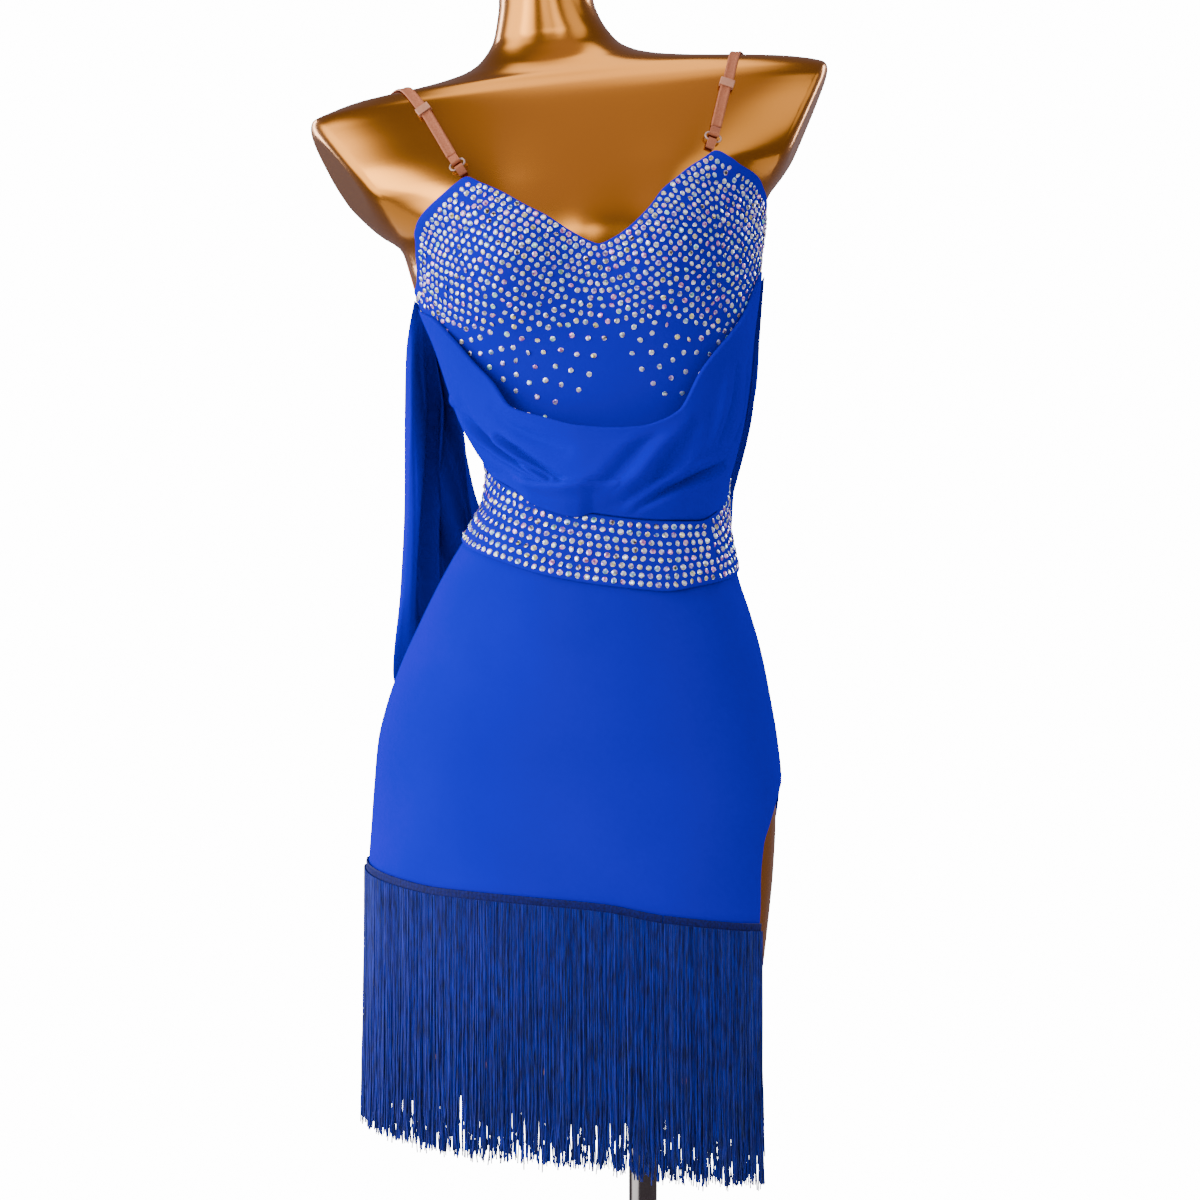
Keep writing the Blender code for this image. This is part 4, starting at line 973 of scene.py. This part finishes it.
# The back drape hangs in a swag from one side seam to the other: its upper and its lower
# edge, station by station, and how deep its folds are there.
SWAG = table(
    "station upper_x upper_y upper_z lower_x lower_y lower_z fold belly",
    (0, -181, 38, 1187, -194.5, 10, 1201, 1, 0),
    (1, -177, 50, 1160, -202, 12, 1160, 3, 2),
    (2, -167, 66, 1125, -204, 20, 1100, 7, 5),
    (3, -153, 84, 1080, -205, 28, 1030, 9, 8),
    (4, -138, 104, 1030, -209, 34, 955, 9, 10),
    (5, -110, 122, 990, -216, 46, 884, 8, 14),
    (6, -75, 130, 968, -186, 112, 828, 8, 8),
    (7, -35, 132, 962, -112, 142, 792, 8, 4),
    (8, 5, 125, 978, -27, 144, 790, 8, 4),
    (9, 38, 107, 1015, 42, 128, 836, 8, 6),
    (10, 60, 86, 1065, 66, 104, 915, 7, 8),
    (11, 75, 66, 1120, 73, 78, 1005, 5, 3),
    (12, 88, 52.5, 1170, 95.5, 43.5, 1110, 4, 2),
    (13, 93.2, 42, 1206, 103.2, 10, 1221.5, 0.6, 0),
)
SWAG_GRID, SWAG_WALL, SWAG_FOLDS, SWAG_DEPTH = (140, 260), 0.8, 3.5, 0.92
# By station: how far the swag's upper edge is tucked in behind the front drape, how deep
# the long hollow beside its outer pipe is, and how far back the pipe's outer side bends.
SWAG_TUCK = [(0, 2), (1, 8), (2, 10), (3, 4), (4, 0)]
SWAG_HOLLOW = [(0.3, 0), (1.1, 40), (2, 60), (4, 56), (5, 24), (6, 0)]
SWAG_PIPE = [(0.3, 0), (1.1, 16), (2, 27), (4, 27), (5, 14), (6, 0)]
# Across the swag: where the pipe is highest, where the hollow starts and ends, where a small
# ridge crosses it, and where the folds flatten toward the pipe.
PIPE_CREST, HOLLOW_START, HOLLOW_END = 0.80, (0.12, 0.24), (0.66, 0.76)
RIDGE_AT, RIDGE_REACH, FLATTENED, FLATTEN = 0.3, 0.08, (0.66, 0.8), 0.85
PIPE_WAY, HOLLOW_WAY = np.array([-0.08, 1.0, 0.0]), np.array([-0.05, 1.0, 0.0])


def back_drape(surface):
    (rows, columns), curves = SWAG_GRID, column_curves(SWAG)
    along = np.linspace(SWAG[0].station, SWAG[-1].station, columns)
    upper, lower = (
        np.stack([curves[side + axis](along) for axis in "xyz"], axis=-1)
        for side in ("upper_", "lower_")
    )
    upper[:, 0] += np.interp(along, *zip(*SWAG_TUCK))
    share = np.linspace(1, 0, rows)[:, None, None]
    points = upper + share * (lower - upper)
    away = unit(np.cross(np.gradient(points, axis=0), np.gradient(points, axis=1)))
    across = share[..., 0]
    drift = 0.12 * np.sin(along * 0.9 + 0.6) * np.sin(np.pi * across)
    phase = 2 * np.pi * SWAG_FOLDS * (across + drift)
    wave = np.cos(phase) + 0.18 * np.cos(2 * phase + along * 0.5)
    wave = wave * curves["fold"](along) * SWAG_DEPTH
    bow = np.sin(np.pi * across) * curves["belly"](along)
    hollow = eased(*HOLLOW_START, across) * (1 - eased(*HOLLOW_END, across))
    hollow = hollow * (1 - 0.5 * np.exp(-(((across - RIDGE_AT) / RIDGE_REACH) ** 2)))
    hollow = hollow * np.interp(along, *zip(*SWAG_HOLLOW))
    folds = wave * (1 - FLATTEN * eased(*FLATTENED, across)) + bow
    points = points + away * folds[..., None]
    pipe = np.clip((across - PIPE_CREST) / (1 - PIPE_CREST), 0, 1) ** 1.6
    pipe = pipe * np.interp(along, *zip(*SWAG_PIPE))
    points = points + pipe[..., None] * PIPE_WAY + hollow[..., None] * unit(HOLLOW_WAY)
    turned = points[:, ::-1]
    return shell("back_swag_drape", turned, surface, SWAG_WALL, "drape_cloth", "back_drape")


# ---------------------------------------------------------------- fringe

# Turns at which each stretch of fringe starts and ends.
FRINGE = table(
    "name first last",
    ("fringe_front_right", -89.6, 25.4),
    ("fringe_front_left", 25.8, 64),
    ("fringe_back", 112.6, 269.6),
)
TAPE_HEIGHT, TAPE_WALL, TAPE_ROWS, TAPE_COLUMNS_PER_DEGREE = 12, 0.75, 13, 3.2
RIDGE, RIDGE_PLACES, RIDGE_WIDTH, STITCH, STITCH_PITCH = 0.35, (0.9, 0.1), 0.1, 0.12, 5.2
FRINGE_LENGTH, FRINGE_FLARE, STRAND_STOP = 207, 3.5, 4
STRAND_RADIUS, STRAND_STEP, STRAND_RINGS, STRAND_SIDES = 0.67, 1.2, 12, 3
STRAND_LAYERS = (2.7, 3.15, 3.6, 4.05, 4.5)
# Strands start over the tape's foot, part into tufts near their ends and end unevenly, most
# of them STRAND_STOP short of the fringe's length.
STRAND_START, TUFT_PULL, TUFT_FROM, SPLAY, SPLAY_FROM = 5.8, 1.5, 0.76, 14, 0.9
SHORT, SHORT_SHARE = (5, 32), 0.4


def fringe_tape(backing, surface):
    """The braid that the strands hang from, sewn on over the hem."""
    columns = int(abs(backing.last - backing.first) * TAPE_COLUMNS_PER_DEGREE)
    turns = np.linspace(backing.first, backing.last, columns)
    share = np.linspace(0, 1, TAPE_ROWS)[:, None]
    ridge = sum(RIDGE * np.exp(-(((share - at) / RIDGE_WIDTH) ** 2)) for at in RIDGE_PLACES)
    out = layer(1) + TRACE + ridge + STITCH * np.sin(turns * STITCH_PITCH)
    points = DRESS.at(turns, HEM(turns) + share * TAPE_HEIGHT, out)
    shell(backing.name + "_tape", points, surface, TAPE_WALL, "fringe", backing.name)


def strand_roots(backing):
    """Where each strand starts, and its way out of the skirt on the level."""
    fine = np.linspace(backing.first, backing.last, 900)
    length = run_along(DRESS.at(fine, HEM(fine), 3.0))
    roots, ways = [], []
    for number, out in enumerate(STRAND_LAYERS):
        at = np.arange(0.1 + number * STRAND_STEP * 0.37 % STRAND_STEP, length[-1], STRAND_STEP)
        turn = np.interp(at + dice.normal(0, 0.16, len(at)), length, fine)
        roots.append(DRESS.at(turn, HEM(turn) + STRAND_START, out))
        ways.append(DRESS.out_of(turn, HEM(turn)))
    return np.concatenate(roots), unit(np.concatenate(ways) * [1, 1, 0])


def strand_shifts(roots, down):
    """How far each strand hangs to the side, out and down, and the turn it starts at."""
    count = len(roots)
    along = roots[:, 0] - 0.6 * roots[:, 1]
    hang = 1.8 * np.sin(along * 0.41) + 1.4 * np.sin(along * 0.97 + 1.3)
    short = dice.uniform(*SHORT, count) * (dice.random(count) < SHORT_SHARE)
    drop = FRINGE_LENGTH + STRAND_START - STRAND_STOP + hang + dice.normal(0, 2.6, count) - short
    tuft = np.sin(along * 0.62 + 1.7 * np.sin(along * 0.083)) + 0.6 * np.sin(along * 1.33 + 0.4)
    tuft = (TUFT_PULL * tuft)[:, None]
    flare = (dice.uniform(-0.6, 1.0, count) * FRINGE_FLARE)[:, None]
    sway = dice.normal(0, 1.0, count)[:, None]
    phase = dice.uniform(0, 2 * np.pi, count)[:, None]
    twist = dice.uniform(1.2, 2.6, count)[:, None] * 2 * np.pi * down + phase
    slow = np.sin(roots[:, :1] * 0.11 + roots[:, 1:2] * 0.07)
    side = sway * down**1.4 * 1.3 + 0.55 * down * np.sin(twist) + slow * down**2
    side = side + tuft * np.clip((down - TUFT_FROM) / (1 - TUFT_FROM), 0, 1) ** 1.3
    side = side + dice.normal(0, 1.0, (count, 1)) * np.clip(down - SPLAY_FROM, 0, 1) * SPLAY
    out = flare * down**1.6 + 0.4 * down * np.cos(twist)
    return side, out, down * drop[:, None], phase


def fringe_strands(backing, surface):
    """Close rows of twisted strands, uneven at their lower ends."""
    roots, ways = strand_roots(backing)
    down, count = np.linspace(0, 1, STRAND_RINGS), len(roots)
    sides = np.stack([-ways[:, 1], ways[:, 0], 0 * ways[:, 0]], axis=1)
    side, out, drop, phase = strand_shifts(roots, down)
    path = roots[:, None] + sides[:, None] * side[..., None] + ways[:, None] * out[..., None]
    path[..., 2] -= drop
    corner = phase[:, :, None] + np.arange(STRAND_SIDES) * 2 * np.pi / STRAND_SIDES
    radius = STRAND_RADIUS * dice.uniform(0.85, 1.12, (count, 1, 1))
    radius = radius * (1 - 0.1 * down[:, None] ** 8)
    across, ahead = (radius * np.cos(corner))[..., None], (radius * np.sin(corner))[..., None]
    rings = path[:, :, None] + across * ways[:, None, None] + ahead * sides[:, None, None]
    starts = np.arange(count)[:, None, None] * STRAND_RINGS * STRAND_SIDES
    faces = (ring_quads(STRAND_RINGS, STRAND_SIDES) + starts).reshape(-1, 4)[:, ::-1]
    settle(mesh_object(backing.name + "_strands", rings, faces, surface), "fringe", backing.name)


# ---------------------------------------------------------------- straps

STRAP_WIDTH, STRAP_WALL, STRAP_CLEAR, STRAP_POINTS = 9, 1.6, 0.3, 200
RING_BAR, RING_BEND, RING_WIRE, RING_OUT, RING_STEPS = 3.5, 3.2, 0.8, 3.2, 18
EYE_CLEAR, EYE_WALL, EYE_TAIL, EYE_STEPS = 0.35, 1.0, 7.0, 28
TAB_WIDTH, LOOP_WIDTH = 7, 8
SLIDER_LENGTH, SLIDER_BAR, SLIDER_LIFT, SLIDER_EDGE, SLIDER_ROUND = 7, 1.1, 1.6, 0.3, 0.8
# The band starts this far below the ring's middle, and ends this far above the back's edge.
BAND_DROP, END_LIFT = 2.1, 1.0
# Half of the strap's section: distance from its middle line and height of its outer face.
STRAP_FACE = [(4.5, 0.35), (4.25, 1.05), (3.6, 1.45), (2.9, 1.5), (2.2, 1.2), (1.1, 1.1), (0, 1.15)]
STRAP_BACK = 0.08
# Where each strap runs: front ring, slider, shoulder and back, then its end's turn and
# height on the back's edge.
RIGHT = (-154, -80, 1305), (-180, -40, 1348), (-211, 8, 1379), (-214, 80, 1310), (262, 1216.5)
LEFT = (58, -80, 1330), (67, -40, 1369), (82, 8, 1411), (86, 80, 1345), (102, 1235.5)
STRAPS = table("side ring slider over back end", ("right", *RIGHT), ("left", *LEFT))


def body_tree():
    """The figure as a fine closed surface, to lay straps on."""
    points = BODY.on(np.arange(0, 360, 4.0), np.arange(1190, 1440, 5.0)[:, None])
    faces = ring_quads(*points.shape[:2]).tolist()
    return BVHTree.FromPolygons([Vector(point) for point in points.reshape(-1, 3)], faces)


def seat(tree, point, out):
    near, normal, _, _ = tree.find_nearest(Vector(point))
    return near + normal * out, normal


def lay_taut(tree, start, end, count):
    """A strap's middle line pulled taut from start to end over the figure."""
    line = [start.lerp(end, i / count) for i in range(count + 1)]
    for _ in range(120):
        for i in range(1, count):
            point = (line[i - 1] + line[i + 1]) / 2
            near, normal, _, _ = tree.find_nearest(point)
            height = (point - near).dot(normal)
            line[i] = point if height > STRAP_CLEAR else near + normal * STRAP_CLEAR
    return line


def axes(along, normal, origin):
    """Axes of a small piece: along the strap, out of the figure and across the strap."""
    along = along.normalized()
    normal = (normal - along * normal.dot(along)).normalized()
    turn = Matrix((along, normal, along.cross(normal))).transposed().to_4x4()
    return Matrix.Translation(origin * MM) @ turn


def curve_piece(name, outlines, place, surface, dimensions, **settings):
    """A piece from closed outlines of points, whose settings say how they become solid."""
    curve = bpy.data.curves.new(name, "CURVE")
    curve.dimensions = dimensions
    for setting, value in settings.items():
        setattr(curve, setting, value)
    for outline in outlines:
        spline = curve.splines.new("POLY")
        spline.points.add(len(outline) - 1)
        for point, (x, y, z) in zip(spline.points, outline):
            point.co = (x * MM, y * MM, z * MM, 1)
        spline.use_cyclic_u = True
    curve.materials.append(surface)
    made = add_object(name, curve)
    made.matrix_world = place
    return made


def flat_piece(name, outlines, thickness, place, surface, **settings):
    """A flat outline with its holes, given a thickness across the strap."""
    settings = dict(settings, fill_mode="BOTH", extrude=thickness / 2 * MM)
    level = [[(x, y, 0) for x, y in outline] for outline in outlines]
    return curve_piece(name, level, place, surface, "2D", **settings)


def circle(radius, steps, first=0, last=360):
    angles = [math.radians(first + (last - first) * i / steps) for i in range(steps)]
    return [(radius * math.cos(angle), radius * math.sin(angle)) for angle in angles]


def eye(name, node, width, place, surface):
    """A turned-back end of elastic: a loop round the ring's bar, with its flat tail."""
    hole = RING_WIRE + EYE_CLEAR
    outer = hole + EYE_WALL
    outline = circle(outer, EYE_STEPS, -90, 150)
    outline += [(-EYE_TAIL, -outer + 2 * EYE_WALL), (-EYE_TAIL, -outer)]
    made = flat_piece(name, [outline, circle(hole, EYE_STEPS)], width, place, surface)
    settle(made, "nude_elastic", node)


def ring(side, place, surface):
    """An oval ring: two bars across the strap, joined by round ends."""
    path = []
    for way in (-1, 1):
        for i in range(RING_STEPS + 1):
            angle = math.pi * i / RING_STEPS - way * math.pi / 2
            across = way * RING_BAR + RING_BEND * math.cos(angle)
            path.append((RING_BEND * math.sin(angle), 0, across))
    wire = {"bevel_depth": RING_WIRE * MM, "bevel_resolution": 4}
    made = curve_piece("strap_ring_" + side, [path], place, surface, "3D", **wire)
    settle(made, "clear_plastic", "ring_" + side)


def slider(side, place, surface):
    """An oval slider that the strap runs through."""
    outlines = []
    for wall in (SLIDER_BAR, 0):
        x, y = STRAP_WIDTH / 2 + GAP + wall, STRAP_WALL / 2 + GAP + wall
        outlines.append(rounded([(-x, -y), (x, -y), (x, y), (-x, y)], SLIDER_ROUND))
    lying = place @ Matrix(((0, 0, 1, 0), (0, 1, 0, 0), (-1, 0, 0, 0), (0, 0, 0, 1)))
    edge_round = {"bevel_depth": SLIDER_EDGE * MM, "bevel_resolution": 3}
    length = SLIDER_LENGTH - 2 * SLIDER_EDGE
    made = flat_piece("strap_slider_" + side, outlines, length, lying, surface, **edge_round)
    settle(made, "nude_plastic", "slider_" + side)


def smooth_line(line, count):
    """Even places on a smooth curve through a line's points."""
    line = np.array([tuple(point) for point in line])
    run = run_along(line)
    at = np.linspace(0, run[-1], count)
    made = np.stack([Through(run, line[:, k])(at) for k in range(3)], axis=1)
    for _ in range(6):
        made[1:-1] = (made[:-2] + 2 * made[1:-1] + made[2:]) / 4
    return made


def strap_band(side, line, normals, surface):
    half = np.array(STRAP_FACE)
    upper = np.concatenate([half * [-1, 1], half[-2::-1]])
    section = np.concatenate([upper, upper[::-1] * [1, 0] + [0, STRAP_BACK]])
    along = unit(np.gradient(line, axis=0))
    across = unit(np.cross(normals, along))
    away = unit(np.cross(along, across))
    rings = line[:, None] + across[:, None] * section[:, :1] + away[:, None] * section[:, 1:]
    quads = ring_quads(len(line), len(section))
    made = mesh_object("strap_band_" + side, rings, quads, surface)
    with closed_mesh(made):
        pass
    settle(made, "nude_elastic", "strap_" + side)


def strap(row, tree, elastic, plastic_look, clear):
    middle, normal = seat(tree, row.ring, RING_OUT)
    toward = Vector(row.slider) - Vector(row.ring)
    toward = (toward - normal * toward.dot(normal)).normalized()
    ring(row.side, axes(toward, normal, middle), clear)
    low, high = middle - toward * RING_BEND, middle + toward * RING_BEND
    ends = (
        ("bodice_tab_", "strap_tab_", TAB_WIDTH, toward, low),
        ("turned_end_", "strap_fold_", LOOP_WIDTH, -toward, high),
    )
    for name, node, width, way, place in ends:
        eye(name + row.side, node + row.side, width, axes(way, normal, place), elastic)
    first = high + toward * (EYE_TAIL + 3 * GAP) - normal * BAND_DROP
    held, held_normal = seat(tree, row.slider, STRAP_CLEAR + SLIDER_LIFT)
    over, back = (seat(tree, place, STRAP_CLEAR)[0] for place in (row.over, row.back))
    end_turn, end_height = row.end
    end = Vector(BODY.at(end_turn, end_height + END_LIFT, STRAP_CLEAR))
    run = over - first
    run = (run - held_normal * run.dot(held_normal)).normalized()
    line = lay_taut(tree, first, held - run * SLIDER_LENGTH, 10) + [held]
    line += lay_taut(tree, held + run * SLIDER_LENGTH, over, 14)
    line += lay_taut(tree, over, back, 26)[1:] + lay_taut(tree, back, end, 26)[1:]
    line = smooth_line(line, STRAP_POINTS)
    normals = np.array([tuple(seat(tree, point, 0)[1]) for point in line])
    for _ in range(10):
        normals[1:-1] = (normals[:-2] + normals[1:-1] + normals[2:]) / 3
    strap_band(row.side, line, unit(normals), elastic)
    place = axes(run, held_normal, held + held_normal * STRAP_WALL / 2)
    slider(row.side, place, plastic_look)


# ---------------------------------------------------------------- the whole


# Soft glows of the room: turn and height of each in degrees, the angles from its middle at
# which it is full and at which it ends, its strength and its tint.
WHITE, WARM, ROOM = (1, 1, 1), (1, 0.84, 0.95), 0.23
GLOWS = table(
    "turn height full edge strength tint",
    (-42, 12, 9, 18, 5.0, WHITE),
    (-5, 14, 4, 9, 3.6, WHITE),
    (11, 18, 5, 11, 4.6, WHITE),
    (-73, 8, 20, 39, 4.8, WHITE),
    (-10, 84, 12, 24, 3.2, WHITE),
    (50, 28, 8, 24, 1.6, WHITE),
    (84, 14, 10, 18, 1.2, WHITE),
    (4, 50, 6, 30, 0.46, WARM),
)
# In metres: where the camera is, its sensor and how wide it sees at the dress.
CAMERA, SENSOR, VIEW_WIDTH = (-0.0365, -2.7, 0.946), 36, 1.02
BACKDROP = 15.0
LAMP_SIDE, LAMP_BACK, LAMP_HEIGHT, LAMP_AIM, LAMP_SIZE = 1.7, 1.6, 1.7, (0, 0, 1.0), (0.4, 1.4)
FLOOR_RADIUS, FLOOR_SIDES, FLOOR_DROP = 2150, 96, 0.6


def light(name, x, watts):
    """A soft lamp behind the dress, turned to it."""
    lamp = bpy.data.lights.new(name, "AREA")
    lamp.shape, lamp.energy = "RECTANGLE", watts
    lamp.size, lamp.size_y = LAMP_SIZE
    made = add_object(name, lamp)
    made.location = (x, LAMP_BACK, LAMP_HEIGHT)
    way = Vector(LAMP_AIM) - Vector((x, LAMP_BACK, LAMP_HEIGHT))
    made.rotation_euler = way.to_track_quat("-Z", "Y").to_euler()


def vector_math(tree, operation, *values):
    made = new_node(tree, "VectorMath")
    made.operation = operation
    return feed(tree, made, dict(enumerate(values)))


def room_glow(tree):
    """The room's light from every way: its own level with the glows added to it."""
    way, level = new_node(tree, "TexCoord").outputs["Generated"], [ROOM * tint for tint in WARM]
    for glow in GLOWS:
        turn, up, full, edge = np.radians([glow.turn, glow.height, glow.full, glow.edge])
        aim = (math.sin(turn) * math.cos(up), -math.cos(turn) * math.cos(up), math.sin(up))
        facing = vector_math(tree, "DOT_PRODUCT", way, aim).outputs["Value"]
        reach = {"From_Min": math.cos(edge), "From_Max": math.cos(full)}
        spread = new_node(tree, "MapRange", Value=facing, **reach)
        spread.interpolation_type = "SMOOTHSTEP"
        strength = [glow.strength * tint for tint in glow.tint]
        added = vector_math(tree, "MULTIPLY_ADD", spread.outputs["Result"], strength, level)
        level = added.outputs["Vector"]
    return level


def studio():
    """Camera, a pale backdrop that only the camera sees, the room's glow, lamps and floor."""
    camera = bpy.data.cameras.new("camera")
    camera.sensor_width = SENSOR
    camera.lens = SENSOR * -CAMERA[1] / VIEW_WIDTH
    camera.clip_end = 50
    made = add_object("camera", camera)
    made.location = CAMERA
    made.rotation_euler = (math.pi / 2, 0, 0)
    bpy.context.scene.camera = made
    world = bpy.data.worlds.new("pale_studio")
    bpy.context.scene.world = world
    world.use_nodes = True
    tree = world.node_tree
    backdrop = {"Color": (1, 1, 1, 1), "Strength": BACKDROP}
    seen = feed(tree, tree.nodes["Background"], backdrop).outputs[0]
    unseen = new_node(tree, "Background", Color=room_glow(tree)).outputs[0]
    ray = new_node(tree, "LightPath").outputs["Is Camera Ray"]
    mix = feed(tree, new_node(tree, "MixShader"), {"Fac": ray, 1: unseen, 2: seen})
    feed(tree, tree.nodes["World Output"], {"Surface": mix.outputs[0]})
    light("back_left", -LAMP_SIDE, 24)
    light("back_right", LAMP_SIDE, 20)
    turns = np.arange(FLOOR_SIDES) * 2 * np.pi / FLOOR_SIDES
    disc = [FLOOR_RADIUS * np.cos(turns), FLOOR_RADIUS * np.sin(turns), 0 * turns - FLOOR_DROP]
    faces = [(0, i, i + 1) for i in range(1, FLOOR_SIDES - 1)]
    look = Look("pale_floor", 0.75)
    look.colour(look.noise(3.0), (0.3, (0.80, 0.80, 0.80)), (0.7, (0.84, 0.84, 0.84)))
    floor = mesh_object("floor", np.stack(disc, axis=1), faces, look.made, smooth=False)


def main():
    royal, draped = jersey("royal_blue_jersey", 0.5), jersey("royal_blue_drape", 0.45)
    rayon, braid, elastic = (yarn(*row) for row in YARNS)
    gold = lacquer("gold_lacquer")
    chrome = metal("chrome", (0.18, 0.165, 0.16), 0.14, (500, 500, 3))
    steel = metal("satin_steel", (0.38, 0.38, 0.39), 0.3, (60, 60, 60))
    slider_look = plastic("nude_plastic", (0.48, 0.20, 0.113), (0.54, 0.25, 0.155), 0.28)
    clear = plastic("clear_plastic", (0.62, 0.42, 0.36), (0.76, 0.55, 0.48), 0.12, 0.5)
    foil = [crystal(row.tint, row.colour, row.metallic) for row in CRYSTALS]
    dress_form(gold)
    stand(chrome, steel)
    cloth = taut_cloth(royal)
    cloth["front_drape"], cloth["back_drape"] = front_drape(draped), back_drape(draped)
    belt_stones(foil)
    bodice_stones(foil)
    for backing in FRINGE:
        fringe_tape(backing, braid)
        fringe_strands(backing, rayon)
    tree = body_tree()
    for row in STRAPS:
        strap(row, tree, elastic, slider_look, clear)
    studio()


main()
